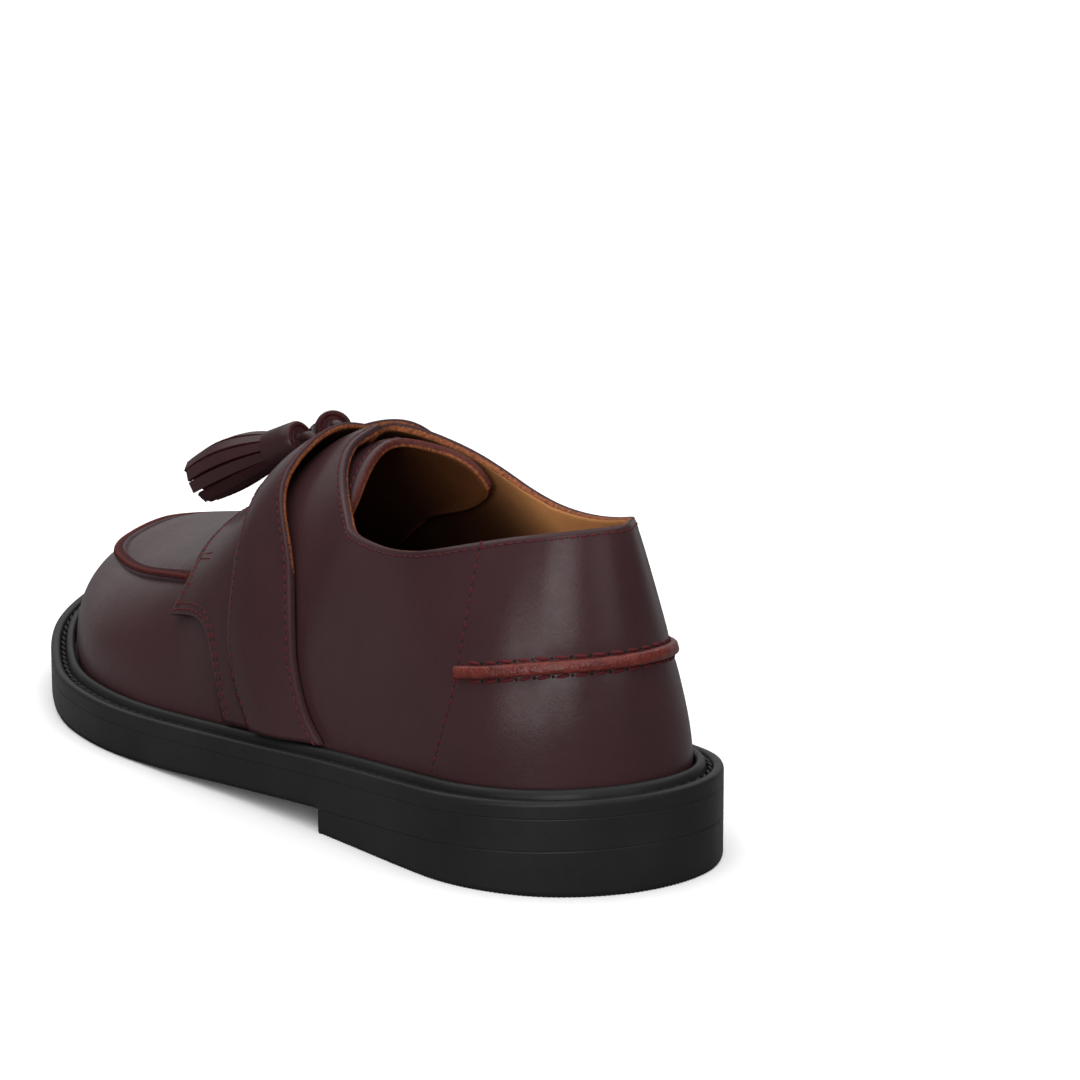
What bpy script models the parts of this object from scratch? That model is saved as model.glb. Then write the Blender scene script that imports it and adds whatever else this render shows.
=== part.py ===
"""Tassel loafer, left shoe: moc-toe upper, instep strap with two tassels, storm welt and low heel.

Lengths are in millimetres until make_object turns them into metres. A place on the shoe is
given as (across, from_heel, height): across grows towards the outer side of the foot,
from_heel runs from the back of the sole to the toe, and height stands on the ground.
"""

import bpy
import numpy as np

MM = 0.001

# Driving sizes
SOLE_LENGTH = 287.0
CLEARANCE = 0.3
WALL = 2.2
WELT_HEIGHT = 4.0
WELT_REACH = 6.9
WELT_SEAT = 1.5
BEAD_RISE = 1.3
SKIRT_RISE = 1.6
HEEL_LENGTH = 79.0
SOCK_RISE = 0.6
THROAT = 123.0
SLIT_END = 149.0
SLIT_GAP = 3.0
CROWN_HEEL = 34.0
CROWN_TOE = 238.0
RIB_STEPS = 12


class Table:
    """Rows of sizes under named columns, read at any station on a smooth curve."""

    def __init__(self, columns, rows):
        self.columns = columns.split()
        self.rows = np.array(rows, float)

    def column(self, name):
        return self.rows[:, self.columns.index(name)]

    def at(self, station, name):
        return smooth_through(self.rows[:, 0], self.column(name), station)


PLAN = Table(
    "from_heel outer inner",
    [
        (0, -0.8, -0.8),
        (9, 23.7, -25.3),
        (30, 36.2, -37.4),
        (50, 39.2, -38.8),
        (75, 42.0, -38.2),
        (100, 45.2, -35.2),
        (120, 48.2, -34.2),
        (150, 53.4, -39.5),
        (180, 57.0, -47.6),
        (203, 55.6, -50.8),
        (235, 46.0, -49.0),
        (255, 36.3, -43.2),
        (271, 23.9, -34.5),
        (287, -3.2, -3.2),
    ],
)

SOLE = Table(
    "from_heel tread top",
    [
        (0, 11.0, 22.5),
        (40, 8.5, 20.2),
        (79, 5.7, 17.7),
        (110, 3.3, 15.3),
        (145, 0.9, 13.3),
        (165, 0.0, 12.5),
        (205, 0.0, 12.4),
        (235, 1.3, 13.9),
        (262, 3.8, 16.6),
        (287, 6.6, 19.4),
    ],
)

# Where the rib that starts at a station of the sole ends on the line over the top of the foot
RIB_END = Table(
    "from_heel crown",
    [(0, CROWN_HEEL), (20, 38), (45, 53), (70, 73), (100, 100), (200, 200), (230, 222), (258, 233), (287, CROWN_TOE)],
)

CROWN = Table(
    "from_heel height across",
    [
        (34, 101.0, 1.0),
        (60, 100.5, 0.5),
        (90, 94.0, -1.0),
        (110, 89.6, -0.5),
        (124, 88.2, 0.0),
        (131, 86.3, -0.8),
        (140, 81.6, -1.5),
        (150, 75.6, -1.5),
        (165, 66.6, -1.5),
        (185, 57.2, -3.5),
        (208, 50.2, -7.0),
        (238, 43.9, -10.5),
    ],
)

# How square each rib is (2 is round, more is boxier) and how far it swells over its foot
RIBS = Table(
    "from_heel outer_square inner_square outer_swell inner_swell",
    [
        (0, 1.95, 1.95, -1.5, -1.5),
        (12, 1.92, 1.70, -0.8, -2.9),
        (27, 1.83, 1.84, 0.3, -2.9),
        (52, 2.47, 2.17, 1.6, -0.4),
        (80, 2.04, 2.19, 1.7, -0.6),
        (103, 1.80, 2.28, 1.2, 0.5),
        (124, 1.98, 1.96, 1.9, 0.9),
        (160, 1.68, 1.98, 2.5, 1.5),
        (199, 1.76, 2.05, 2.0, 2.0),
        (240, 1.84, 2.60, 1.0, 1.0),
        (267, 2.02, 2.20, 0.6, 0.6),
        (287, 2.00, 2.00, 0.3, 0.3),
    ],
)

TOPLINE = Table(
    "from_heel outer inner",
    [
        (0, 80.6, 80.6),
        (17, 78.6, 79.2),
        (28, 76.7, 78.2),
        (38, 74.7, 76.8),
        (48, 72.4, 74.9),
        (58, 70.7, 73.3),
        (68, 69.8, 72.6),
        (78, 69.4, 73.0),
        (88, 69.4, 75.3),
        (97, 72.2, 78.8),
        (105, 75.8, 82.3),
        (112, 80.2, 85.3),
        (118, 84.7, 87.6),
        (123, 88.2, 88.6),
    ],
)

# Rear edge of the tongue, from its outer corner over the top of the foot to its inner corner
TONGUE = Table(
    "climb rear",
    [
        (0.480, 126.0),
        (0.490, 115.0),
        (0.515, 107.5),
        (0.560, 104.4),
        (0.625, 105.8),
        (0.700, 109.0),
        (0.780, 112.2),
        (0.860, 115.0),
        (0.930, 117.0),
        (1.000, 117.0),
        (1.070, 115.2),
        (1.140, 111.8),
        (1.220, 107.2),
        (1.300, 103.0),
        (1.380, 100.4),
        (1.440, 99.8),
        (1.475, 102.0),
        (1.500, 107.5),
        (1.510, 115.0),
        (1.520, 126.0),
    ],
)
TONGUE_FRONT = 184.0
TONGUE_SINK = 1.35

# Front edge of the saddle on the outer and the inner side, from the welt to the line over the top
SADDLE = Table(
    "climb outer_front inner_front",
    [
        (0.004, 126.6, 134.0),
        (0.050, 128.5, 136.0),
        (0.110, 130.4, 138.0),
        (0.170, 132.4, 140.5),
        (0.220, 135.2, 143.5),
        (0.250, 138.4, 147.0),
        (0.272, 142.5, 151.0),
        (0.292, 148.5, 157.0),
        (0.308, 156.2, 164.5),
        (0.350, 155.4, 164.0),
        (0.400, 155.4, 164.0),
        (0.450, 157.2, 165.5),
        (0.505, 160.8, 168.0),
        (0.560, 163.4, 170.0),
        (0.620, 165.2, 171.5),
        (0.680, 168.4, 174.0),
        (0.740, 173.0, 178.0),
        (0.810, 181.5, 185.0),
        (0.880, 191.0, 193.0),
        (0.940, 199.0, 200.0),
        (1.000, 203.0, 203.0),
    ],
)
SADDLE_UNDER_STRAP = 7.0
SADDLE_LIFT = 0.55

# Edges of the strap on each side and how far the underside of its rear edge stands off the quarter
STRAP = Table(
    "climb outer_front outer_rear inner_front inner_rear stand_off",
    [
        (0.004, 113.8, 85.0, 128.0, 103.0, 0.3),
        (0.055, 117.3, 91.0, 131.0, 108.0, 0.3),
        (0.115, 121.2, 94.6, 134.0, 112.0, 0.3),
        (0.190, 123.5, 98.6, 137.0, 115.5, 0.3),
        (0.260, 124.8, 101.0, 139.5, 118.0, 0.3),
        (0.310, 125.6, 103.4, 141.0, 119.5, 0.3),
        (0.360, 127.0, 105.8, 142.3, 120.8, 0.5),
        (0.410, 128.8, 108.4, 143.3, 122.2, 1.1),
        (0.460, 131.0, 112.0, 144.5, 123.0, 2.2),
        (0.520, 133.8, 117.4, 145.8, 124.0, 3.0),
        (0.580, 138.0, 121.4, 146.3, 125.0, 3.3),
        (0.640, 143.8, 123.2, 147.0, 126.2, 3.2),
        (0.700, 151.5, 124.2, 150.0, 127.2, 2.9),
        (0.770, 160.5, 126.2, 157.0, 128.2, 2.4),
        (0.850, 170.5, 129.6, 167.5, 130.6, 1.8),
        (0.930, 179.5, 134.2, 178.5, 134.6, 1.4),
        (1.000, 183.5, 137.0, 183.5, 137.0, 1.2),
    ],
)
STRAP_THICK = 1.8
STRAP_FRONT_THICK = 1.0
STRAP_END = 0.41
STRAP_END_SLANT = 0.05
OVER_SADDLE = 2.3
TAB_TOP = 0.57

# Path of the ridge round the plug, by the angle round the sole
APRON = Table(
    "degrees climb",
    [
        (96, 0.437),
        (104, 0.483),
        (112, 0.498),
        (120, 0.502),
        (128, 0.493),
        (136, 0.478),
        (143, 0.467),
        (150, 0.467),
        (156, 0.490),
        (162, 0.522),
        (168, 0.547),
        (174, 0.561),
        (180, 0.568),
        (186, 0.569),
        (192, 0.571),
        (198, 0.577),
        (204, 0.590),
        (210, 0.610),
        (216, 0.636),
        (222, 0.662),
        (228, 0.676),
        (234, 0.664),
        (240, 0.630),
        (247, 0.580),
        (254, 0.527),
        (259, 0.480),
    ],
)
APRON_WIDTH = 3.2
APRON_HEIGHT = 1.7

# Path of the rolled cord round the heel
HEEL_ROLL = Table(
    "degrees climb",
    [(-39, 0.213), (-28, 0.231), (-15, 0.238), (0, 0.240), (15, 0.238), (28, 0.231), (39, 0.213)],
)
HEEL_ROLL_WIDTH = 2.8
HEEL_ROLL_HEIGHT = 1.9

# Rear end of each tassel's cap and the middle of its cut end
TASSELS = Table(
    "across_cap from_heel_cap height_cap across_tip from_heel_tip height_tip",
    [
        (2.6, 167.2, 77.8, 16.0, 200.6, 62.3),
        (-8.7, 171.6, 79.0, -21.0, 208.0, 60.0),
    ],
)
CAP_LENGTH = 11.0
CAP_RADIUS = 4.9
STRIP_COUNT = 10
STRIP_WIDTH = 3.6
STRIP_THICK = 1.3
STRIP_RING = 3.4
STRIP_SPLAY = 1.75
STRIP_BOW = 3.2
LACE_RADIUS = 1.5
LACE_LIFT = 0.6

# Base colour and roughness of each leather, rubber and lining
FINISHES = {
    "upper_leather": ((0.044, 0.026, 0.028), 0.38),
    "raw_edge": ((0.140, 0.040, 0.032), 0.60),
    "lining_leather": ((0.250, 0.110, 0.040), 0.65),
    "sole_rubber": ((0.021, 0.021, 0.021), 0.45),
}


def smooth_through(xs, ys, at):
    """Monotone cubic through the points (xs, ys), read at one or many places."""
    at = np.clip(at, xs[0], xs[-1])
    step = np.diff(xs)
    slope = np.diff(ys) / step
    lean = np.empty(len(xs))
    lean[0], lean[-1] = slope[0], slope[-1]
    before, after = slope[:-1], slope[1:]
    same_way = before * after > 0
    weight_a = 2 * step[1:] + step[:-1]
    weight_b = step[1:] + 2 * step[:-1]
    safe_before = np.where(same_way, before, 1.0)
    safe_after = np.where(same_way, after, 1.0)
    mean = (weight_a + weight_b) / (weight_a / safe_before + weight_b / safe_after)
    lean[1:-1] = np.where(same_way, mean, 0.0)
    i = np.clip(np.searchsorted(xs, at, side="right") - 1, 0, len(xs) - 2)
    return hermite(at, xs[i], xs[i + 1], ys[i], ys[i + 1], lean[i], lean[i + 1])


def hermite(at, x0, x1, y0, y1, lean0, lean1):
    """Cubic between two points with the given slopes."""
    width = x1 - x0
    t = (at - x0) / width
    blend = t * t * (3 - 2 * t)
    return (
        y0 * (1 - blend)
        + y1 * blend
        + width * lean0 * t * (1 - t) ** 2
        + width * lean1 * t * t * (t - 1)
    )


def plan_curve():
    """Closed outline of the sole as (turn, across) points with the slope at each."""
    turn = np.arccos(1 - 2 * PLAN.column("from_heel") / SOLE_LENGTH)
    turns = np.concatenate([turn, 2 * np.pi - turn[-2:0:-1]])
    across = np.concatenate([PLAN.column("outer"), PLAN.column("inner")[-2:0:-1]])
    turns = np.concatenate([turns[-2:] - 2 * np.pi, turns, turns[:2] + 2 * np.pi])
    across = np.concatenate([across[-2:], across, across[:2]])
    slope = np.gradient(across, turns)
    return turns, across, slope


PLAN_TURNS, PLAN_ACROSS, PLAN_SLOPE = plan_curve()


def turn_of(station):
    """Angle round the sole, from the heel by the outer side, at which the edge is at this station."""
    return np.arccos(1 - 2 * np.asarray(station, float) / SOLE_LENGTH)


def edge_point(turn):
    """(across, from_heel) of the sole's edge at an angle round it."""
    turn = np.mod(turn, 2 * np.pi)
    i = np.searchsorted(PLAN_TURNS, turn, side="right") - 1
    j = i + 1
    across = hermite(
        turn, PLAN_TURNS[i], PLAN_TURNS[j], PLAN_ACROSS[i], PLAN_ACROSS[j], PLAN_SLOPE[i], PLAN_SLOPE[j]
    )
    return np.stack([across, SOLE_LENGTH * (1 - np.cos(turn)) / 2], axis=-1)


def inset_point(turn, inset):
    """The sole's edge moved inwards, square to itself."""
    nudge = 0.01
    along = edge_point(turn + nudge) - edge_point(turn - nudge)
    along /= np.linalg.norm(along, axis=-1, keepdims=True)
    outward = np.stack([along[..., 1], -along[..., 0]], axis=-1)
    return edge_point(turn) - outward * np.asarray(inset)[..., None]


EDGE = edge_point(np.linspace(0, 2 * np.pi, 720, endpoint=False))
MIDDLE = (EDGE[:, 0].max() + EDGE[:, 0].min()) / 2


def upper_point(turn, climb):
    """Outer face of the upper: climb 0 is its foot at the welt and 1 the line over the top.

    A climb beyond 1 goes down the other side, and one below 0 is the straight skirt in the welt.
    """
    turn, climb = np.broadcast_arrays(np.asarray(turn, float), np.asarray(climb, float))
    over = climb > 1
    turn = np.mod(np.where(over, -turn, turn), 2 * np.pi)
    climb = np.where(over, 2 - climb, climb)
    outer = turn <= np.pi
    station = SOLE_LENGTH * (1 - np.cos(turn)) / 2
    foot = inset_point(turn, WELT_REACH)
    crown_at = RIB_END.at(station, "crown")
    crown = np.stack([CROWN.at(crown_at, "across"), crown_at], axis=-1)
    square = np.where(outer, RIBS.at(station, "outer_square"), RIBS.at(station, "inner_square"))
    swell = np.where(outer, RIBS.at(station, "outer_swell"), RIBS.at(station, "inner_swell"))
    top = SOLE.at(station, "top")
    low = top + SKIRT_RISE
    high = CROWN.at(crown_at, "height")
    angle = np.clip(climb, 0, 1) * np.pi / 2
    inward = 1 - np.cos(angle) ** (2 / square)
    rise = np.sin(angle) ** (2 / square)
    run = crown - foot
    reach = np.linalg.norm(run, axis=-1)
    bulge = swell * np.sin(np.pi * rise) ** 1.5
    flat = foot + run * (inward - bulge / reach)[..., None]
    height = low + (high - low) * rise
    skirt = np.clip(-climb, 0, 1) * (SKIRT_RISE + WELT_SEAT - CLEARANCE)
    return np.concatenate([flat, (height - skirt)[..., None]], axis=-1)


def upper_normal(turn, climb):
    """Unit vector straight out of the upper."""
    nudge = 0.004
    round_it = upper_point(turn + nudge, climb) - upper_point(turn - nudge, climb)
    up_it = upper_point(turn, climb + nudge) - upper_point(turn, climb - nudge)
    normal = np.cross(round_it, up_it)
    return normal / np.linalg.norm(normal, axis=-1, keepdims=True)


def rim_climb(turn):
    """How far up its rib the upper ends: at the topline, at the slit, or on the crown."""
    turn = np.mod(turn, 2 * np.pi)
    station = SOLE_LENGTH * (1 - np.cos(turn)) / 2
    if station > SLIT_END:
        return 1.0
    crown_at = RIB_END.at(station, "crown")
    low = SOLE.at(station, "top") + SKIRT_RISE
    high = CROWN.at(crown_at, "height")
    side = "outer" if turn <= np.pi else "inner"
    square = RIBS.at(station, side + "_square")
    share = (min(TOPLINE.at(station, side), high) - low) / (high - low)
    by_height = np.arcsin(np.clip(share, 0, 1) ** (square / 2))
    if station < CROWN_HEEL:
        return by_height / (np.pi / 2)
    foot = inset_point(turn, WELT_REACH)
    reach = abs(foot[0] - CROWN.at(crown_at, "across"))
    by_gap = np.arccos(min(1.0, SLIT_GAP / 2 / reach) ** (square / 2))
    return min(by_height, by_gap) / (np.pi / 2)


def half_round(first, last, count):
    """Stations that crowd towards the first one, as round an end of the sole."""
    return first + (last - first) * (1 - np.cos(np.linspace(0, np.pi / 2, count)))


def rib_stations():
    """Stations of the ribs: close at both round ends and along the facing edges."""
    heel = half_round(0, CROWN_HEEL, 8)
    side = np.linspace(CROWN_HEEL, 88, 7)
    facing = np.linspace(88, THROAT, 11)
    slit = np.linspace(THROAT, SLIT_END, 6)
    fore = np.concatenate([np.linspace(SLIT_END + 0.01, 205, 8), np.linspace(205, CROWN_TOE, 4)[1:]])
    toe = half_round(SOLE_LENGTH, CROWN_TOE, 9)[::-1]
    return np.concatenate([heel, side[1:], facing[1:], slit[1:], fore[1:], toe[1:]])


def ring_turns(stations):
    """Angles once round the shoe: heel, outer side, toe and back by the inner side."""
    turn = turn_of(stations)
    back = turn[-2:0:-1] if stations[-1] >= SOLE_LENGTH else turn[:0:-1]
    return np.concatenate([turn, 2 * np.pi - back])


def bridge(first, second, count, closed=True):
    """Quads between two rows of vertices with these first numbers."""
    last = count if closed else count - 1
    faces = []
    for i in range(last):
        j = (i + 1) % count
        faces.append((first + i, first + j, second + j, second + i))
    return faces


def cap(first, count, flip):
    """Strips across a ring that starts at the heel, which close it flat."""
    faces = [(0, 1, count - 1)]
    i = 1
    while i + 1 < count - i - 1:
        faces.append((i, i + 1, count - i - 1, count - i))
        i += 1
    if i + 1 == count - i - 1:
        faces.append((i, i + 1, count - i))
    if flip:
        faces = [face[::-1] for face in faces]
    return [tuple(first + v for v in face) for face in faces]


def stack(rings):
    """Closed solid of rings laid on each other from the lowest to the highest."""
    count = len(rings[0])
    faces = []
    for k in range(len(rings) - 1):
        faces += bridge(k * count, (k + 1) * count, count)
    faces += cap(0, count, True)
    faces += cap((len(rings) - 1) * count, count, False)
    return np.concatenate(rings), faces


def hoop(rings):
    """Closed solid of rings that are the corners of a section carried round the shoe."""
    count = len(rings[0])
    faces = []
    for k in range(len(rings)):
        after = (k + 1) % len(rings)
        faces += bridge(k * count, after * count, count)
    return np.concatenate(rings), faces


def slab(low, high):
    """Closed solid between two grids of points, the lower and the upper face of a sheet."""
    rows, columns = low.shape[:2]
    count = rows * columns
    number = np.arange(count).reshape(rows, columns)
    faces = []
    for r in range(rows - 1):
        for c in range(columns - 1):
            a, b = number[r, c], number[r, c + 1]
            d, e = number[r + 1, c], number[r + 1, c + 1]
            faces.append((a, b, e, d))
            faces.append((count + a, count + d, count + e, count + b))
    border = list(number[0]) + list(number[1:, -1]) + list(number[-1, -2::-1]) + list(number[-2:0:-1, 0])
    for a, b in zip(border, border[1:] + border[:1]):
        faces.append((b, a, count + a, count + b))
    points = np.concatenate([low.reshape(-1, 3), high.reshape(-1, 3)])
    return points, faces


def volume_of(points, faces):
    total = 0.0
    for face in faces:
        for i in range(1, len(face) - 1):
            total += np.dot(points[face[0]], np.cross(points[face[i]], points[face[i + 1]]))
    return total


def make_object(name, solid, finish):
    """Mesh object of a solid given in shoe places, with the toe towards -Y and outer side +X."""
    points, faces = solid
    world = np.stack([points[:, 0] - MIDDLE, SOLE_LENGTH / 2 - points[:, 1], points[:, 2]], axis=-1) * MM
    if volume_of(world, faces) < 0:
        faces = [face[::-1] for face in faces]
    mesh = bpy.data.meshes.new(name)
    mesh.from_pydata(world.tolist(), [], [tuple(int(v) for v in face) for face in faces])
    mesh.validate()
    mesh.materials.append(material(finish))
    mesh.shade_smooth()
    mesh.set_sharp_from_angle(angle=np.radians(35))
    obj = bpy.data.objects.new(name, mesh)
    bpy.context.scene.collection.objects.link(obj)
    return obj


def material(finish):
    found = bpy.data.materials.get(finish)
    if found:
        return found
    colour, roughness = FINISHES[finish]
    made = bpy.data.materials.new(finish)
    made.use_nodes = True
    shader = made.node_tree.nodes["Principled BSDF"]
    shader.inputs["Base Color"].default_value = (*colour, 1.0)
    shader.inputs["Roughness"].default_value = roughness
    return made


def level_ring(turns, inset, height):
    """Ring inside the sole's edge, at a height or at heights worked out from the station."""
    flat = inset_point(turns, inset)
    return np.concatenate([flat, np.broadcast_to(height, turns.shape)[:, None]], axis=-1)


def sole_stations(last=SOLE_LENGTH):
    heel = half_round(0, 32, 8)
    if last < SOLE_LENGTH:
        return np.concatenate([heel, np.linspace(32, last, 5)[1:]])
    middle = np.linspace(32, 235, 19)
    return np.concatenate([heel, middle[1:], half_round(SOLE_LENGTH, 235, 9)[-2::-1]])


def make_outsole():
    turns = ring_turns(sole_stations())
    station = edge_point(turns)[:, 1]
    tread = SOLE.at(station, "tread")
    top = SOLE.at(station, "top") - WELT_HEIGHT - CLEARANCE
    rings = [
        level_ring(turns, 1.2, tread),
        level_ring(turns, 0.2, tread + 0.8),
        level_ring(turns, 0.0, top - 0.4),
        level_ring(turns, 0.4, top),
    ]
    make_object("outsole", stack(rings), "sole_rubber")


def make_heel():
    turns = ring_turns(sole_stations(HEEL_LENGTH))
    station = edge_point(turns)[:, 1]
    top = SOLE.at(station, "tread") - CLEARANCE
    rings = [
        level_ring(turns, 0.9, 0.0),
        level_ring(turns, 0.3, 0.6),
        level_ring(turns, 0.3, top - 0.5),
        level_ring(turns, 1.2, top),
    ]
    make_object("heel", stack(rings), "sole_rubber")


def make_welt():
    turns = ring_turns(sole_stations())
    station = edge_point(turns)[:, 1]
    top = SOLE.at(station, "top")
    bead_in = WELT_REACH - CLEARANCE
    seat_in = WELT_REACH + WALL + 0.3
    section = [
        (0.5, -WELT_HEIGHT),
        (0.0, -WELT_HEIGHT + 0.5),
        (0.0, -0.8),
        (0.7, 0.0),
        (2.3, 0.0),
        (2.7, -1.3),
        (3.9, -1.3),
        (4.3, 0.5),
        (5.0, BEAD_RISE),
        (6.0, BEAD_RISE),
        (bead_in, 0.4),
        (bead_in, -WELT_SEAT),
        (seat_in, -WELT_SEAT),
        (seat_in, -WELT_HEIGHT),
    ]
    rings = [level_ring(turns, inset, top + rise) for inset, rise in section]
    make_object("welt", hoop(rings), "sole_rubber")


def make_insole():
    turns = ring_turns(sole_stations())
    station = edge_point(turns)[:, 1]
    top = SOLE.at(station, "top")
    inset = WELT_REACH + WALL + 2 * CLEARANCE
    rings = [
        level_ring(turns, inset, top - WELT_HEIGHT),
        level_ring(turns, inset, top + SOCK_RISE - 0.5),
        level_ring(turns, inset + 0.6, top + SOCK_RISE),
    ]
    make_object("insole", stack(rings), "lining_leather")


def make_upper():
    """One hollow shell: ribs from the welt to the topline, the slit or the crown, and a wall inside."""
    turns = ring_turns(rib_stations())
    count = len(turns)
    limits = np.array([rim_climb(turn) for turn in turns])
    climbs = np.concatenate([[-1.0], np.linspace(0, 1, RIB_STEPS)])
    rows = []
    for climb in climbs:
        rows.append(upper_point(turns, np.where(climb > 0, climb * limits, climb)))
    outer = np.array(rows)
    steps = len(climbs)
    number = np.arange(steps * count).reshape(steps, count)
    for i in range(1, count // 2):
        if limits[i] == 1.0:
            number[-1, count - i] = number[-1, i]
    faces = []
    for k in range(steps - 1):
        for i in range(count):
            j = (i + 1) % count
            face = (number[k, i], number[k, j], number[k + 1, j], number[k + 1, i])
            faces.append(tuple(dict.fromkeys(face)))
    points = outer.reshape(-1, 3)
    normal = vertex_normals(points, faces)
    inner = points - WALL * normal
    shift = len(points)
    faces += [tuple(v + shift for v in face[::-1]) for face in faces]
    for i in range(count):
        j = (i + 1) % count
        faces.append((number[0, j], number[0, i], number[0, i] + shift, number[0, j] + shift))
        open_edge = limits[i] < 1.0 or limits[j] < 1.0
        if open_edge:
            a, b = number[-1, i], number[-1, j]
            faces.append((a, b, b + shift, a + shift))
    make_object("upper", (np.concatenate([points, inner]), faces), "upper_leather")


def vertex_normals(points, faces):
    """Mean direction of the faces round each point, larger faces counting more."""
    normal = np.zeros_like(points)
    for face in faces:
        corners = points[list(face)]
        across = np.cross(corners[1] - corners[0], corners[2] - corners[0])
        if len(face) == 4:
            across = np.cross(corners[2] - corners[0], corners[3] - corners[1])
        for v in face:
            normal[v] += across
    length = np.linalg.norm(normal, axis=1, keepdims=True)
    return normal / np.where(length > 0, length, 1.0)


def on_upper(station, climb, lift):
    """Places at a lift square out from the upper; a climb beyond 1 is on the inner side."""
    turn = turn_of(station)
    return upper_point(turn, climb) + np.asarray(lift)[..., None] * upper_normal(turn, climb)


def both_sides(table, outer, inner):
    """Column for the outer side followed by one for the inner side, from the top down."""
    return np.concatenate([table.column(outer), table.column(inner)[-2::-1]])


def spread(front, rear, shares):
    """Stations across a band, one row for each pair of its edges."""
    return front[:, None] + (rear - front)[:, None] * np.asarray(shares)


def make_tongue():
    climb = TONGUE.column("climb")
    rows = spread(TONGUE.column("rear"), np.full(len(climb), TONGUE_FRONT), [0.0, 0.12, 0.35, 0.65, 1.0])
    climbs = np.broadcast_to(climb[:, None], rows.shape)
    outer = on_upper(rows, climbs, np.full(rows.shape, -WALL - TONGUE_SINK))
    inner = on_upper(rows, climbs, np.full(rows.shape, -2 * WALL - TONGUE_SINK))
    make_object("tongue", slab(inner, outer), "upper_leather")


def make_saddle():
    """Front end of the quarters, which runs over the foot from welt to welt under the strap's front."""
    climb = both_sides(SADDLE, "climb", "climb")
    side = climb.copy()
    crown = len(SADDLE.rows) - 1
    climb[crown + 1 :] = 2 - side[crown + 1 :]
    front = both_sides(SADDLE, "outer_front", "inner_front")
    rear = np.where(climb <= 1, STRAP.at(side, "outer_front"), STRAP.at(side, "inner_front"))
    rows = spread(front, rear - SADDLE_UNDER_STRAP, [0.0, 0.25, 0.5, 0.75, 1.0])
    climbs = np.broadcast_to(climb[:, None], rows.shape)
    low = on_upper(rows, climbs, np.full(rows.shape, SADDLE_LIFT))
    high = on_upper(rows, climbs, np.full(rows.shape, OVER_SADDLE - 0.4))
    make_object("saddle", slab(low, high), "upper_leather")


def strap_lift(share, stand_off):
    """Lift of the strap's underside: level over what is under its front, then easing to its rear."""
    ease = np.clip((share - 0.25) / 0.75, 0, 1)
    ease = ease * ease * (3 - 2 * ease)
    return OVER_SADDLE + (stand_off - OVER_SADDLE) * ease


def make_strap():
    """Band over the instep, from the outer welt to a slanting end low on the inner side."""
    side = both_sides(STRAP, "climb", "climb")
    crown = len(STRAP.rows) - 1
    inner = np.arange(len(side)) > crown
    kept = ~inner | (side >= STRAP_END)
    climb = np.where(inner, 2 - side, side)[kept]
    front = both_sides(STRAP, "outer_front", "inner_front")[kept]
    rear = both_sides(STRAP, "outer_rear", "inner_rear")[kept]
    stand_off = both_sides(STRAP, "stand_off", "stand_off")[kept]
    over_tab = inner & (side < TAB_TOP + 0.06)
    stand_off = np.where(over_tab[kept], np.maximum(stand_off, OVER_SADDLE), stand_off)
    shares = np.array([0.0, 0.25, 0.5, 0.75, 1.0])
    rows = spread(front, rear, shares)
    share = np.broadcast_to(shares, rows.shape)
    to_end = np.clip((climb - 1.3) / (2 - STRAP_END - 1.3), 0, 1)[:, None]
    climbs = climb[:, None] + STRAP_END_SLANT * to_end * (1 - share)
    under = strap_lift(share, stand_off[:, None])
    thick = STRAP_FRONT_THICK + (STRAP_THICK - STRAP_FRONT_THICK) * np.clip(share / 0.25, 0, 1)
    make_object("instep_strap", slab(on_upper(rows, climbs, under), on_upper(rows, climbs, under + thick)), "upper_leather")


def make_tab():
    """Lower end of the strap on the inner side, sewn in at the welt."""
    climb = np.array([0.004, 0.07, 0.14, 0.21, 0.28, 0.35, 0.42, 0.49, TAB_TOP])
    front = STRAP.at(climb, "inner_front") - SADDLE_UNDER_STRAP - 1.0
    rows = spread(front, STRAP.at(climb, "inner_rear"), [0.0, 0.33, 0.67, 1.0])
    climbs = 2 - np.broadcast_to(climb[:, None], rows.shape)
    low = on_upper(rows, climbs, np.full(rows.shape, SADDLE_LIFT))
    high = on_upper(rows, climbs, np.full(rows.shape, OVER_SADDLE - 0.4))
    make_object("strap_tab", slab(low, high), "upper_leather")


def ridge(table, width, height, count):
    """Solid of a half-round cord laid on the upper along a path."""
    degrees = np.linspace(table.rows[0, 0], table.rows[-1, 0], count)
    turn = np.radians(degrees)
    climb = table.at(degrees, "climb")
    middle = upper_point(turn, climb)
    along = np.gradient(middle, axis=0)
    along /= np.linalg.norm(along, axis=1, keepdims=True)
    out = upper_normal(turn, climb)
    side = np.cross(along, out)
    section = [(-0.5, 0.0), (-0.46, 0.5), (-0.2, 0.95), (0.2, 0.95), (0.46, 0.5), (0.5, 0.0)]
    rings = [
        middle + side * (a * width) + out * (CLEARANCE + b * height) for a, b in section
    ]
    return tube(np.stack(rings, axis=1))


def tube(rings):
    """Closed solid of sections one after another, capped flat at both ends."""
    count, corners = rings.shape[:2]
    faces = []
    for k in range(count - 1):
        faces += bridge(k * corners, (k + 1) * corners, corners)
    last = (count - 1) * corners
    faces.append(tuple(range(corners - 1, -1, -1)))
    faces.append(tuple(range(last, last + corners)))
    return rings.reshape(-1, 3), faces


def circle(middle, axis, radius, count=12):
    """Ring of points round a place, square to an axis."""
    level = np.cross(axis, [0.0, 0.0, 1.0])
    level /= np.linalg.norm(level)
    upright = np.cross(level, axis)
    angle = np.arange(count) * 2 * np.pi / count
    return middle + radius * (np.cos(angle)[:, None] * level + np.sin(angle)[:, None] * upright)


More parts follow.
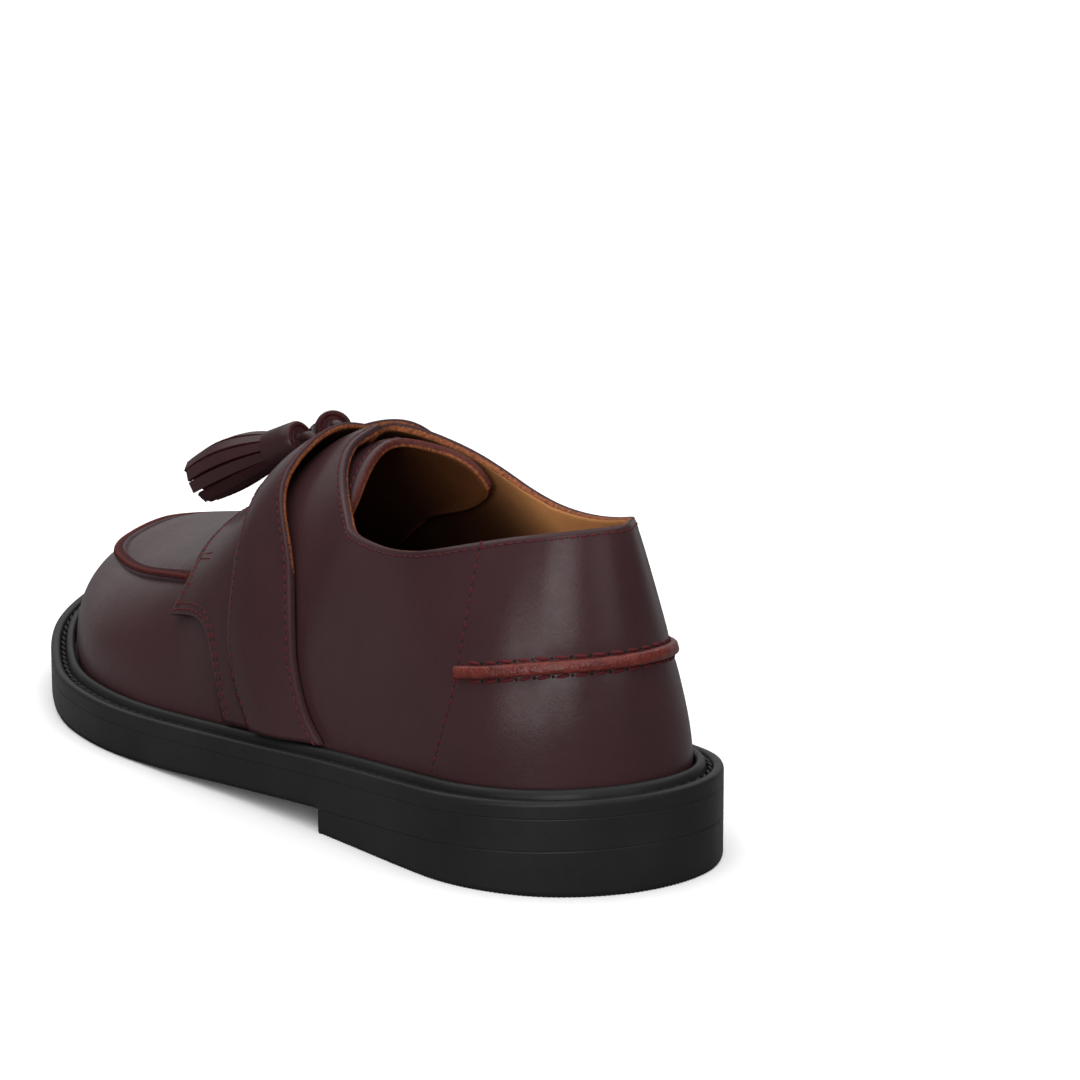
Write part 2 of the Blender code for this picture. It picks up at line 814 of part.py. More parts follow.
def tassel_cap(start, axis):
    """Rolled cap: a short drum with a rounded rear end and a thinner end roll."""
    profile = [(0.0, 3.2), (0.7, 4.2), (2.6, 4.5), (3.0, 4.8), (CAP_LENGTH, CAP_RADIUS)]
    return tube(np.stack([circle(start + axis * at, axis, radius) for at, radius in profile]))


def tassel_strip(start, axis, length, index):
    """One cut strip, from inside the cap to its free end."""
    level = np.cross(axis, [0.0, 0.0, 1.0])
    level /= np.linalg.norm(level)
    upright = np.cross(level, axis)
    angle = 2 * np.pi * index / STRIP_COUNT
    inner_row = index % 2
    out = np.cos(angle) * level + np.sin(angle) * upright
    beside = np.cross(axis, out)
    reach = length - CAP_LENGTH - 1.5 * (index % 3)
    rings = []
    for share in (0.0, 0.3, 0.65, 1.0):
        at = CAP_LENGTH - 2.0 + (reach + 2.0) * share
        ring = (STRIP_RING - 0.9 * inner_row) * (1 + (STRIP_SPLAY - 1) * share)
        middle = start + axis * at + out * ring
        middle = middle + np.array([0.0, 0.0, 4 * STRIP_BOW * share * (1 - share)])
        half_wide, half_thick = STRIP_WIDTH / 2, STRIP_THICK / 2
        corners = [(-1, -1), (1, -1), (1, 1), (-1, 1)]
        rings.append([middle + beside * half_wide * a + out * half_thick * b for a, b in corners])
    return tube(np.array(rings))


def make_tassel(name, row):
    """Cap and strips fused into one body."""
    start, tip = TASSELS.rows[row, :3], TASSELS.rows[row, 3:]
    length = np.linalg.norm(tip - start)
    axis = (tip - start) / length
    body = make_object(name, tassel_cap(start, axis), "upper_leather")
    for index in range(STRIP_COUNT):
        strip = make_object(f"{name}_strip", tassel_strip(start, axis, length, index), "upper_leather")
        fuse(body, strip)


def fuse(body, piece):
    """Joins a piece into a body and removes the piece."""
    joint = body.modifiers.new("join", "BOOLEAN")
    joint.operation = "UNION"
    joint.solver = "EXACT"
    joint.object = piece
    joined = bpy.data.meshes.new_from_object(body.evaluated_get(bpy.context.evaluated_depsgraph_get()))
    body.modifiers.remove(joint)
    body.data = joined
    bpy.data.objects.remove(piece)


def make_lace():
    """Round lace over the strap from one tassel's cap to the other's."""
    caps = TASSELS.rows[:, :3]
    axes = TASSELS.rows[:, 3:] - caps
    axes /= np.linalg.norm(axes, axis=1, keepdims=True)
    ends = caps - axes * CLEARANCE
    clear = OVER_SADDLE + STRAP_THICK + LACE_LIFT + LACE_RADIUS
    bend = on_upper(np.array([156.5, 155.0, 160.0]), np.array([0.97, 1.09, 1.22]), np.full(3, clear))
    knots = np.concatenate([ends[:1], ends[:1] - axes[:1] * 3.0, bend, ends[1:] - axes[1:] * 3.0, ends[1:]])
    walked = np.concatenate([[0.0], np.cumsum(np.linalg.norm(np.diff(knots, axis=0), axis=1))])
    at = np.linspace(0, walked[-1], 15)
    path = np.stack([smooth_through(walked, knots[:, k], at) for k in range(3)], axis=1)
    along = np.gradient(path, axis=0)
    along /= np.linalg.norm(along, axis=1, keepdims=True)
    rings = [circle(middle, axis, LACE_RADIUS, 8) for middle, axis in zip(path, along)]
    make_object("tassel_lace", tube(np.stack(rings)), "upper_leather")


def main():
    for obj in list(bpy.data.objects):
        bpy.data.objects.remove(obj)
    make_outsole()
    make_heel()
    make_welt()
    make_insole()
    make_upper()
    make_tongue()
    make_saddle()
    make_strap()
    make_tab()
    make_object("apron_roll", ridge(APRON, APRON_WIDTH, APRON_HEIGHT, 37), "raw_edge")
    make_object("heel_roll", ridge(HEEL_ROLL, HEEL_ROLL_WIDTH, HEEL_ROLL_HEIGHT, 15), "raw_edge")
    make_tassel("tassel_outer", 0)
    make_tassel("tassel_inner", 1)
    make_lace()


if __name__ == "__main__":
    main()
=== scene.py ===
# %% [markdown]
# # A left loafer with cut tassels
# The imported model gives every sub-part its shape and place. This lesson dresses it: each sheet of
# leather gets a smooth surface, a lining side and a cut edge, the sole gets its cord and lines, and
# the rows of stitches are laid along the edges they hold. Sizes are in metres; a place on the shoe
# is also given in millimetres as (across, from_heel, height), where across grows to the outer side.

import math

import bmesh
import bpy
import numpy as np
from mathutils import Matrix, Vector
from mathutils.bvhtree import BVHTree


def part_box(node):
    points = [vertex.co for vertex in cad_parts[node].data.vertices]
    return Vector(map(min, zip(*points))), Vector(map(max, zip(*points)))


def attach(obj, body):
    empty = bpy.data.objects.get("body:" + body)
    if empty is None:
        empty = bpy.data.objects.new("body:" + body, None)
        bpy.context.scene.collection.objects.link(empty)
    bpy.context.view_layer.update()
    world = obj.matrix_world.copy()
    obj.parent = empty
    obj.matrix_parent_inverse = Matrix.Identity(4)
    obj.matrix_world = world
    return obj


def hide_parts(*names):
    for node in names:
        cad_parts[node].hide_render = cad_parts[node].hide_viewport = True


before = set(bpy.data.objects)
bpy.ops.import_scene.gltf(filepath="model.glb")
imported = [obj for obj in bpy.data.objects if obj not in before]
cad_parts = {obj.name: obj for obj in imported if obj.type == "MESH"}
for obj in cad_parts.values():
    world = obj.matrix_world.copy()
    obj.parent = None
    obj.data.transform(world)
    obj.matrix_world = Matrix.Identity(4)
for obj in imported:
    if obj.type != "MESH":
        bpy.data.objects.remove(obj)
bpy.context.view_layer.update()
MM = 0.001
OUTLINE_LOW, OUTLINE_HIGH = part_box("welt")
SOLE_LENGTH = (OUTLINE_HIGH.y - OUTLINE_LOW.y) / MM
MIDDLE = 2.97  # across of the model's middle plane, in millimetres
UP = np.array([0.0, 0.0, 1.0])
print("sole is", round(SOLE_LENGTH, 1), "mm long; parts:", len(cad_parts))


def place(across, from_heel, height):
    """Point in the model for a place on the shoe in millimetres."""
    return np.array([across - MIDDLE, SOLE_LENGTH / 2 - from_heel, height]) * MM


def place_of(points):
    """Across, from_heel and height in millimetres of points in the model."""
    return points[:, 0] / MM + MIDDLE, SOLE_LENGTH / 2 - points[:, 1] / MM, points[:, 2] / MM


# %% [markdown]
# ## Effects that several materials share
# Leather is never one colour: the dye lies in soft clouds and thins a little on the grain's hills.
# That could be painted by hand, but a shader node group with named inputs gives the same effect to
# every piece at its own scale. The group hands out only a colour, a roughness and a height, and the
# shader itself stays in each material.

# %% Helpers for node trees
def feed(tree, socket, value):
    """Gives a socket a value, or links it when the value is a socket of another node."""
    if isinstance(value, bpy.types.NodeSocket):
        tree.links.new(value, socket)
    else:
        socket.default_value = value


def add(tree, kind, **values):
    """Adds a node; a socket is fed by its name, with underscores for spaces."""
    node = tree.nodes.new(kind)
    for key, value in values.items():
        if hasattr(node, key):
            setattr(node, key, value)
        else:
            feed(tree, node.inputs[key.replace("_", " ")], value)
    return node


def maths(tree, operation, *values, kind="ShaderNodeMath", output=0):
    """Result of a maths node whose sockets are fed in their order."""
    node = add(tree, kind, operation=operation)
    for socket, value in zip(node.inputs, values):
        feed(tree, socket, value)
    return node.outputs[output]


def dot(tree, way, direction):
    """How far a way goes along a direction."""
    return maths(tree, "DOT_PRODUCT", way, direction, kind="ShaderNodeVectorMath", output="Value")


def remap(tree, source, low, high, to_low=0.0, to_high=1.0):
    """Map Range node fed by a socket."""
    sizes = {"From_Min": low, "From_Max": high, "To_Min": to_low, "To_Max": to_high}
    return add(tree, "ShaderNodeMapRange", Value=source, **sizes).outputs["Result"]


def mixed(tree, factor, first, second):
    """Colour mix of two sockets or colours by a socket."""
    node = add(tree, "ShaderNodeMix", data_type="RGBA")
    for number, value in ((0, factor), (6, first), (7, second)):
        feed(tree, node.inputs[number], value)
    return node.outputs[2]


def noise(tree, **values):
    """Noise over the object's own coordinates."""
    at = add(tree, "ShaderNodeTexCoord").outputs["Object"]
    return add(tree, "ShaderNodeTexNoise", Vector=at, **values).outputs["Fac"]


def colour(red, green, blue):
    return (red, green, blue, 1.0)


def grey(value):
    return colour(value, value, value)


print("node helpers:", ", ".join(f.__name__ for f in (feed, add, maths, dot, remap, mixed, noise)))

# %% Node group: dyed leather grain
PORES = 0.8  # depth of the pores beside that of the wrinkles


def grain_group():
    """Clouds of dye, fine pores and the height of the grain."""
    tree = bpy.data.node_groups.new("dyed_grain", "ShaderNodeTree")
    for label, kind, value in (
        ("Dark Dye", "Color", colour(0.02, 0.01, 0.01)),
        ("Light Dye", "Color", colour(0.05, 0.02, 0.02)),
        ("Cloud Scale", "Float", 18.0),
        ("Grain Scale", "Float", 1300.0),
        ("Polish", "Float", 0.36),
    ):
        socket = tree.interface.new_socket(label, in_out="INPUT", socket_type="NodeSocket" + kind)
        socket.default_value = value
    for label, kind in (("Colour", "Color"), ("Roughness", "Float"), ("Height", "Float")):
        tree.interface.new_socket(label, in_out="OUTPUT", socket_type="NodeSocket" + kind)
    start = add(tree, "NodeGroupInput").outputs
    clouds = noise(tree, Scale=start["Cloud Scale"], Detail=5.0, Roughness=0.6)
    pores = noise(tree, Scale=start["Grain Scale"], Detail=1.0)
    wrinkle = noise(tree, Scale=420.0, Detail=3.0)
    uneven = remap(tree, wrinkle, 0.2, 0.8, -0.04, 0.05)
    add(
        tree, "NodeGroupOutput",
        Colour=mixed(tree, remap(tree, clouds, 0.3, 0.7), start["Dark Dye"], start["Light Dye"]),
        Roughness=maths(tree, "ADD", start["Polish"], uneven),
        Height=maths(tree, "MULTIPLY_ADD", pores, PORES, wrinkle),
    )
    return tree


GRAIN = grain_group()
print("shared effect:", GRAIN.name)


# %% [markdown]
# ## The finishes
# The shoe has polished burgundy calf, tan lining, red-brown cut edges, black rubber and waxed
# thread. Each material is a Principled shader of its own with the shared grain placed in it. Numbers
# that are the same all over stay on the shader's sockets. The lining is one tan with painted shade:
# it darkens along a slanting way towards the toe and down to the sock, where the inside of the shoe
# lies in shade, and the tongue's lining is the tan kept darker as painted shade too.

# %% Leather, lining, thread and rubber
# colour of the painted shade inside the shoe, mixed into the lining's dye
SHADE_COLOUR = colour(0.030, 0.010, 0.004)


def new_material(name, roughness, specular):
    """Material with a Principled shader and the values that don't change over the surface."""
    made = bpy.data.materials.new(name)
    made.use_nodes = True
    shader = made.node_tree.nodes["Principled BSDF"]
    shader.inputs["Roughness"].default_value = roughness
    shader.inputs["Specular IOR Level"].default_value = specular
    return made, made.node_tree, shader


def bumped(tree, shader, height, distance, strength=1.0):
    """Feeds a height to the shader's normal."""
    bump = add(tree, "ShaderNodeBump", Strength=strength, Distance=distance, Height=height)
    tree.links.new(bump.outputs["Normal"], shader.inputs["Normal"])


def with_inside_shade(tree, dye, rise, dark_at, lit_at, bend):
    """Painted shade: darkens a dye along a way that leads to the toe and, by the rise, down to the sock."""
    along = dot(tree, add(tree, "ShaderNodeTexCoord").outputs["Object"], (0.0, 1.0, rise))
    share = maths(tree, "POWER", remap(tree, along, dark_at, lit_at), bend)
    return mixed(tree, share, SHADE_COLOUR, dye)


def grained(name, dark, light, polish, bump, clouds=18.0, grain=1300.0, specular=0.5, inside_shade=None):
    """Material of the dyed grain; a painted inside shade is its rise, where it is dark and lit, and its bend.
    """
    made, tree, shader = new_material(name, polish, specular)
    sizes = {"Dark_Dye": dark, "Light_Dye": light, "Cloud_Scale": clouds, "Grain_Scale": grain}
    node = add(tree, "ShaderNodeGroup", node_tree=GRAIN, Polish=polish, **sizes)
    dye = node.outputs["Colour"]
    if inside_shade:
        dye = with_inside_shade(tree, dye, *inside_shade)
    tree.links.new(dye, shader.inputs["Base Color"])
    tree.links.new(node.outputs["Roughness"], shader.inputs["Roughness"])
    bumped(tree, shader, node.outputs["Height"], bump)
    return made


BURGUNDY = colour(0.0322, 0.0136, 0.0154), colour(0.0448, 0.0190, 0.0213)
burgundy = grained("burgundy_calf", *BURGUNDY, polish=0.30, bump=0.03 * MM, specular=0.18)
cord_leather = grained(
    "cord_leather", colour(0.055, 0.0072, 0.0058), colour(0.140, 0.0210, 0.0140),
    polish=0.36, bump=0.3 * MM, clouds=300.0, specular=0.3,
)
LINING = {"polish": 0.62, "bump": 0.06 * MM, "clouds": 40.0, "grain": 900.0, "specular": 0.15}
# painted shade: the lining darkens towards the toe and down to the sock
tan_lining = grained(
    "tan_lining", colour(0.43, 0.19, 0.068), colour(0.62, 0.285, 0.105),
    inside_shade=(1.2, 0.090, 0.147, 4.0), **LINING,
)
# painted shade: the tongue's lining is the tan kept darker, and it darkens further towards the toe
tongue_lining = grained(
    "tongue_lining", colour(0.11, 0.037, 0.011), colour(0.17, 0.062, 0.019),
    inside_shade=(0.0, 0.004, 0.080, 1.0), **LINING,
)
sock_leather = grained(
    "sock_leather", colour(0.16, 0.07, 0.025), colour(0.24, 0.11, 0.04),
    polish=0.6, bump=0.06 * MM, clouds=30.0, specular=0.3,
)
thread = grained(
    "wine_thread", colour(0.060, 0.0085, 0.0105), colour(0.093, 0.0135, 0.0165),
    polish=0.6, bump=0.05 * MM, grain=2500.0, specular=0.12,
)
black_cord = grained(
    "black_cord", colour(0.005, 0.004, 0.004), colour(0.010, 0.009, 0.009),
    polish=0.5, bump=0.08 * MM, grain=2500.0, specular=0.15,
)
rubber = grained(
    "black_rubber", grey(0.0095), grey(0.0150),
    polish=0.36, bump=0.03 * MM, clouds=35.0, grain=1700.0, specular=0.14,
)


# %% Cut edges
def fibres(tree, scale):
    """Short fibres of cut leather, and the share of light ones among them."""
    height = noise(tree, Scale=scale, Detail=6.0, Roughness=0.7)
    return height, remap(tree, height, 0.35, 0.65)


def raw_edge(name, dark, light):
    """Cut leather of one layer: short fibres across the edge, matt."""
    made, tree, shader = new_material(name, 0.7, 0.08)
    height, share = fibres(tree, 900.0)
    tree.links.new(mixed(tree, share, dark, light), shader.inputs["Base Color"])
    bumped(tree, shader, height, 0.35 * MM, 0.7)
    return made


def two_layer_edge(name, face, core, split):
    """Edge of a lined sheet: the depth attribute tells the dyed leather from the lining under it."""
    made, tree, shader = new_material(name, 0.62, 0.12)
    height, share = fibres(tree, 1100.0)
    depth = add(tree, "ShaderNodeAttribute", attribute_name="depth").outputs["Fac"]
    ragged = maths(tree, "MULTIPLY_ADD", height, 0.25, depth)
    which = remap(tree, ragged, split + 0.08, split + 0.17)
    layers = mixed(tree, share, *face), mixed(tree, share, *core)
    tree.links.new(mixed(tree, which, *layers), shader.inputs["Base Color"])
    bumped(tree, shader, height, 0.25 * MM, 0.6)
    return made


RAW_RED = colour(0.037, 0.0052, 0.0036), colour(0.100, 0.0150, 0.0100)
RAW_TAN = colour(0.078, 0.0195, 0.0068), colour(0.275, 0.085, 0.030)
DYED_RED_AND_SHADE = colour(0.022, 0.0055, 0.006), colour(0.050, 0.0095, 0.0105)
TONGUE_RED = colour(0.045, 0.010, 0.009), colour(0.095, 0.024, 0.018)
# the lighter raw red is the cut edge, and on the crest of the plug ridge it serves as a painted highlight
raw_red_and_highlight = raw_edge("raw_red_and_highlight_edge", *RAW_RED)
# the darker red is the dyed side of the tassel strips and painted shade on the slopes of the plug ridge
dyed_red_and_shade = raw_edge("dyed_red_and_shade_edge", *DYED_RED_AND_SHADE)
lined_edge = two_layer_edge("lined_edge", BURGUNDY, RAW_TAN, 0.42)
tongue_edge = two_layer_edge("tongue_edge", TONGUE_RED, RAW_TAN, 0.42)
dyed_edge = two_layer_edge("dyed_edge", BURGUNDY, RAW_RED, 0.45)
print("finishes:", ", ".join(m.name for m in bpy.data.materials if m.users or m.use_nodes))


# %% [markdown]
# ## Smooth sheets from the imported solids
# Every sheet of the model is a closed solid of flat facets with a face side, a lining side and a
# narrow cut edge. Drawing each again would lose its fit. Here a copy is merged and split into its
# smooth regions: the largest is the face, the next the lining, and what is left is the edge. A
# subdivision surface with creased corners then rounds it, and the attribute depth runs from 0 on
# the face to 1 on the lining.

# %% Pieces and their points
def linked(name, data):
    """New object of some data, put into the scene."""
    made = bpy.data.objects.new(name, data)
    bpy.context.scene.collection.objects.link(made)
    return made


def frozen(name, live):
    """Plain piece with the mesh that a live object's modifiers make; the live object goes."""
    graph = bpy.context.evaluated_depsgraph_get()
    made = bpy.data.meshes.new_from_object(live.evaluated_get(graph))
    made.name = name
    source = live.data
    bpy.data.objects.remove(live)
    bpy.data.meshes.remove(source)
    return linked(name, made)


def walls(rings, size, first=0):
    """Quads that join loops of one size, each to the next, counted from a first point."""
    starts = range(first, first + (rings - 1) * size, size)
    sides = [(c, (c + 1) % size) for c in range(size)]
    return [(k + c, k + d, k + size + d, k + size + c) for k in starts for c, d in sides]


def built(name, points, faces, materials, kinds=None):
    """Closed piece of points and faces, turned outwards; kinds give each face's material."""
    mesh = bpy.data.meshes.new(name)
    mesh.from_pydata(points, [], faces)
    for material in materials:
        mesh.materials.append(material)
    if kinds:
        mesh.polygons.foreach_set("material_index", kinds)
    shape = bmesh.new()
    shape.from_mesh(mesh)
    bmesh.ops.recalc_face_normals(shape, faces=shape.faces)
    shape.to_mesh(mesh)
    shape.free()
    return linked(name, mesh)


def settle(piece, slot, *nodes, angle=50):
    """Ties a finished piece to the model."""
    piece.data.shade_smooth()
    piece.data.set_sharp_from_angle(angle=math.radians(angle))
    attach(piece, "root")
    if nodes:
        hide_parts(*nodes)
    triangles = sum(len(p.vertices) - 2 for p in piece.data.polygons)
    print(piece.name, "has", triangles, "triangles")
    return piece


def read(layer, label, width=1):
    """Values of a mesh layer as an array, in rows where each has more than one number."""
    flat = np.empty(len(layer) * width)
    layer.foreach_get(label, flat)
    return flat.reshape(-1, width) if width > 1 else flat


def write_points(mesh, points):
    mesh.vertices.foreach_set("co", points.ravel())
    mesh.update()


print("piece helpers:", ", ".join(f.__name__ for f in (linked, frozen, walls, built, settle)))

# %% Copy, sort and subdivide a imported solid
SHARP = math.radians(38)
SHEET_LEVELS, SHEET_CORNER = 2, 0.85


def merged(node):
    """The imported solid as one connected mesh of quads."""
    sheet = bmesh.new()
    sheet.from_mesh(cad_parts[node].data)
    bmesh.ops.remove_doubles(sheet, verts=sheet.verts, dist=1e-6)
    limits = {"angle_face_threshold": math.radians(25), "angle_shape_threshold": math.radians(50)}
    bmesh.ops.join_triangles(sheet, faces=sheet.faces, **limits)
    sheet.normal_update()
    return sheet


def smooth_regions(sheet):
    """Lists of faces that hang together without a sharp edge, the largest first."""
    sheet.faces.index_update()
    seen = set()
    regions = []
    for first in sheet.faces:
        if first.index in seen:
            continue
        seen.add(first.index)
        region, queue = [], [first]
        while queue:
            face = queue.pop()
            region.append(face)
            for edge in face.edges:
                if edge.calc_face_angle(0.0) > SHARP:
                    continue
                for other in edge.link_faces:
                    if other.index not in seen:
                        seen.add(other.index)
                        queue.append(other)
        regions.append(region)
    return sorted(regions, key=lambda faces: -sum(f.calc_area() for f in faces))


def outline(region):
    """Edges of a region as closed loops of points, the longest loop first."""
    inside = set(region)
    after = {}
    for face in region:
        for loop in face.loops:
            beyond = [f for f in loop.edge.link_faces if f is not face]
            if not any(f in inside for f in beyond):
                after[loop.vert] = loop.link_loop_next.vert
    loops = []
    while after:
        start, vert = next(iter(after.items()))
        ring = [start]
        del after[start]
        while vert in after:
            ring.append(vert)
            vert = after.pop(vert)
        loops.append(np.array([v.co[:] for v in ring]))
    return sorted(loops, key=lambda ring: -len(ring))


def smoothed(name, sheet, materials, levels, sharp, corner):
    """Plain piece of a subdivision surface over a sheet, with its sharp edges held by a crease."""
    crease = sheet.edges.layers.float.new("crease_edge")
    for edge in sheet.edges:
        if edge.calc_face_angle(0.0) > sharp:
            edge[crease] = corner
    mesh = bpy.data.meshes.new(name)
    sheet.to_mesh(mesh)
    sheet.free()
    for material in materials:
        mesh.materials.append(material)
    cage = linked(name + "_cage", mesh)
    surface = cage.modifiers.new("surface", "SUBSURF")
    surface.levels = surface.render_levels = levels
    return frozen(name, cage)


def dressed_sheet(node, materials):
    """Smooth copy of a packed sheet and the loops round its face."""
    sheet = merged(node)
    regions = smooth_regions(sheet)
    depth = sheet.verts.layers.float.new("depth")
    for number, region in enumerate(regions):
        for face in region:
            face.material_index = min(number, 2)
            face.smooth = True
            if number == 1:
                for vert in face.verts:
                    vert[depth] = 1.0
    loops = outline(regions[0])
    return smoothed(node + "_leather", sheet, materials, SHEET_LEVELS, SHARP, SHEET_CORNER), loops


def thin_edge(piece, share):
    """Scales the depth attribute, so that less of the lining's layer shows in the cut edge there."""
    layer = piece.data.attributes["depth"].data
    share = share(*place_of(read(piece.data.vertices, "co", 3)))
    layer.foreach_set("value", read(layer, "value") * share)


SHEETS = {}
LOOPS = {}
for node, lining, edge in (
    ("upper", tan_lining, lined_edge),
    ("tongue", tongue_lining, tongue_edge),
    ("saddle", burgundy, dyed_edge),
    ("strap_tab", tan_lining, lined_edge),
    ("instep_strap", tan_lining, lined_edge),
):
    SHEETS[node], LOOPS[node] = dressed_sheet(node, (burgundy, lining, edge))
    print(node, "face has", len(LOOPS[node]), "loops of", [len(ring) for ring in LOOPS[node]])

thin_edge(SHEETS["upper"], lambda across, back, height: np.where(across > 0, 0.62, 1.15))
thin_edge(SHEETS["tongue"], lambda across, back, height: np.where((across < -10) & (back > 103), 0.3, 0.6))
thin_edge(SHEETS["instep_strap"], lambda across, back, height: np.clip((height - 54.0) / 5.0, 0.0, 1.0))

# %% [markdown]
# ## Lines on the leather
# Creases, cords and stitches all follow lines that lie on a sheet. A line can be measured again for
# each, or taken from what is there: here it is either the outline of a sheet, set in by a few
# millimetres, or a smooth curve through a few places, dropped on the nearest leather.

# %% Lines on the leather
class Skin:
    """Face side of a sheet, for finding the nearest place on it and the way out of it."""

    def __init__(self, piece):
        mesh = piece.data
        faces = [tuple(p.vertices) for p in mesh.polygons if p.material_index == 0]
        self.tree = BVHTree.FromPolygons([v.co[:] for v in mesh.vertices], faces)

    def nearest(self, points):
        found = [self.tree.find_nearest(Vector(p)) for p in points]
        return np.array([f[0][:] for f in found]), np.array([f[1][:] for f in found])


def lengths_along(path):
    """Distance walked at each point of a polyline."""
    return np.concatenate([[0.0], np.cumsum(np.linalg.norm(np.diff(path, axis=0), axis=1))])


def points_at(path, walked, at):
    """Points of a polyline at distances along it."""
    return np.stack([np.interp(at, walked, path[:, k]) for k in range(3)], axis=1)


def evenly(path, pitch):
    """Points along a polyline at an even pitch."""
    walked = lengths_along(path)
    count = max(2, int(round(walked[-1] / pitch)))
    return points_at(path, walked, (np.arange(count) + 0.5) * walked[-1] / count)


def unit(vectors):
    return vectors / np.linalg.norm(vectors, axis=1, keepdims=True)


def softened(vectors, rounds):
    """Vectors along a line, each evened out with its neighbours."""
    for _ in range(rounds):
        vectors[1:-1] = (vectors[:-2] + vectors[1:-1] + vectors[2:]) / 3
    return unit(vectors)


def tangents(path):
    return unit(np.gradient(path, axis=0))


def curve_through(places, pitch):
    """Evenly spaced points on a smooth curve through places on the shoe."""
    knots = np.array([place(*p) for p in places])
    knots = np.concatenate([[2 * knots[0] - knots[1]], knots, [2 * knots[-1] - knots[-2]]])
    t = np.linspace(0, 1, 20, endpoint=False)[:, None]
    parts = [
        b + (c - a) / 2 * t + (a - 2.5 * b + 2 * c - d / 2) * t**2 + (1.5 * (b - c) + (d - a) / 2) * t**3
        for a, b, c, d in zip(knots[:-3], knots[1:-2], knots[2:-1], knots[3:])
    ]
    return evenly(np.concatenate(parts + [knots[-2:-1]]), pitch)


def laid_on(skin, line, rounds):
    """A line dropped on a sheet, with the ways along, across and out of it at each point."""
    on, out = skin.nearest(line)
    out = softened(out, rounds)
    run = tangents(on)
    return on, run, unit(np.cross(out, run)), out


def stretch(ring, start, end, via):
    """Part of a closed loop from one place to another, by the way that passes a third."""
    first = np.argmin(np.linalg.norm(ring - start, axis=1))
    last = np.argmin(np.linalg.norm(ring - end, axis=1))
    turned = np.roll(ring, -first, axis=0)
    stop = (last - first) % len(ring)
    one = turned[: stop + 1]
    other = np.concatenate([turned[stop:], turned[:1]])[::-1]
    near = [np.linalg.norm(side - via, axis=1).min() for side in (one, other)]
    return one if near[0] <= near[1] else other


def set_in(path, skin, inset, towards):
    """Moves a line from the edge of a sheet inwards over its face, to the side of a place."""
    path = evenly(path, 1.0 * MM)
    side = softened(np.cross(skin.nearest(path)[1], tangents(path)), 2)
    half = len(path) // 2
    if side[half] @ (towards - path[half]) < 0:
        side = -side
    return skin.nearest(path + side * inset)[0]


print("line helpers:", ", ".join(f.__name__ for f in (curve_through, laid_on, stretch, set_in)))


# %% [markdown]
# ## Creases and hollows
# New calf lies in wide soft waves, and it dips on both sides of the ridge that joins the plug to the
# vamp. Each is a path over the shoe with a width and a depth, and points of the leather near the path
# move along their normals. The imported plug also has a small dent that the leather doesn't. It could
# be blurred away, but that would flatten the plug; instead a surface fitted to the ring round the
# dent says where the leather would lie, and the face is laid onto it.

# %% Ease a dent out of the plug
RING_FROM = 0.4  # share of the radius from which the surroundings are read
BLEND = 0.35  # share of the radius over which the change fades in


def ease(piece, centre, radius):
    """Lays the face round a place onto the even surface that its surroundings follow."""
    mesh = piece.data
    points = read(mesh.vertices, "co", 3)
    depth = read(mesh.attributes["depth"].data, "value")
    away = (points - place(*centre)) / (radius * MM)
    near = np.nonzero((depth < 0.1) & (np.linalg.norm(away, axis=1) < 1.0))[0]
    x, y, height = away[near].T
    reach = np.hypot(x, y)
    terms = np.stack([x**i * y**j for i in range(4) for j in range(4 - i)], axis=1)
    ring = reach > RING_FROM
    even = terms @ np.linalg.lstsq(terms[ring], height[ring], rcond=None)[0]
    share = np.clip((1.0 - reach) / BLEND, 0.0, 1.0)
    points[near, 2] += share * (even - height) * radius * MM
    write_points(mesh, points)
    most = round(float(np.abs(even - height).max()) * radius, 2)
    print(piece.name, "eased at", len(near), "points by up to", most, "mm")


ease(SHEETS["upper"], (-11.0, 239.5, 43.8), 10.0)


# %% Move the leather along soft paths
def distance_to(points, path):
    """Distance of each point from a polyline."""
    best = np.full(len(points), 1.0)
    for a, b in zip(path[:-1], path[1:]):
        run = b - a
        share = np.clip(((points - a) @ run) / max(run @ run, 1e-12), 0, 1)
        best = np.minimum(best, np.linalg.norm(points - a - share[:, None] * run, axis=1))
    return best


def crease(piece, path, width, depth):
    """Sinks the sheet by a depth along a path, fading out over a width; a negative depth lifts it."""
    mesh = piece.data
    points = read(mesh.vertices, "co", 3)
    fade = np.exp(-((distance_to(points, path) / width) ** 2))
    out = read(mesh.vertices, "normal", 3)
    lining = read(mesh.attributes["depth"].data, "value")
    out = np.where(lining[:, None] > 0.5, -out, out)
    write_points(mesh, points - out * (fade * depth)[:, None])


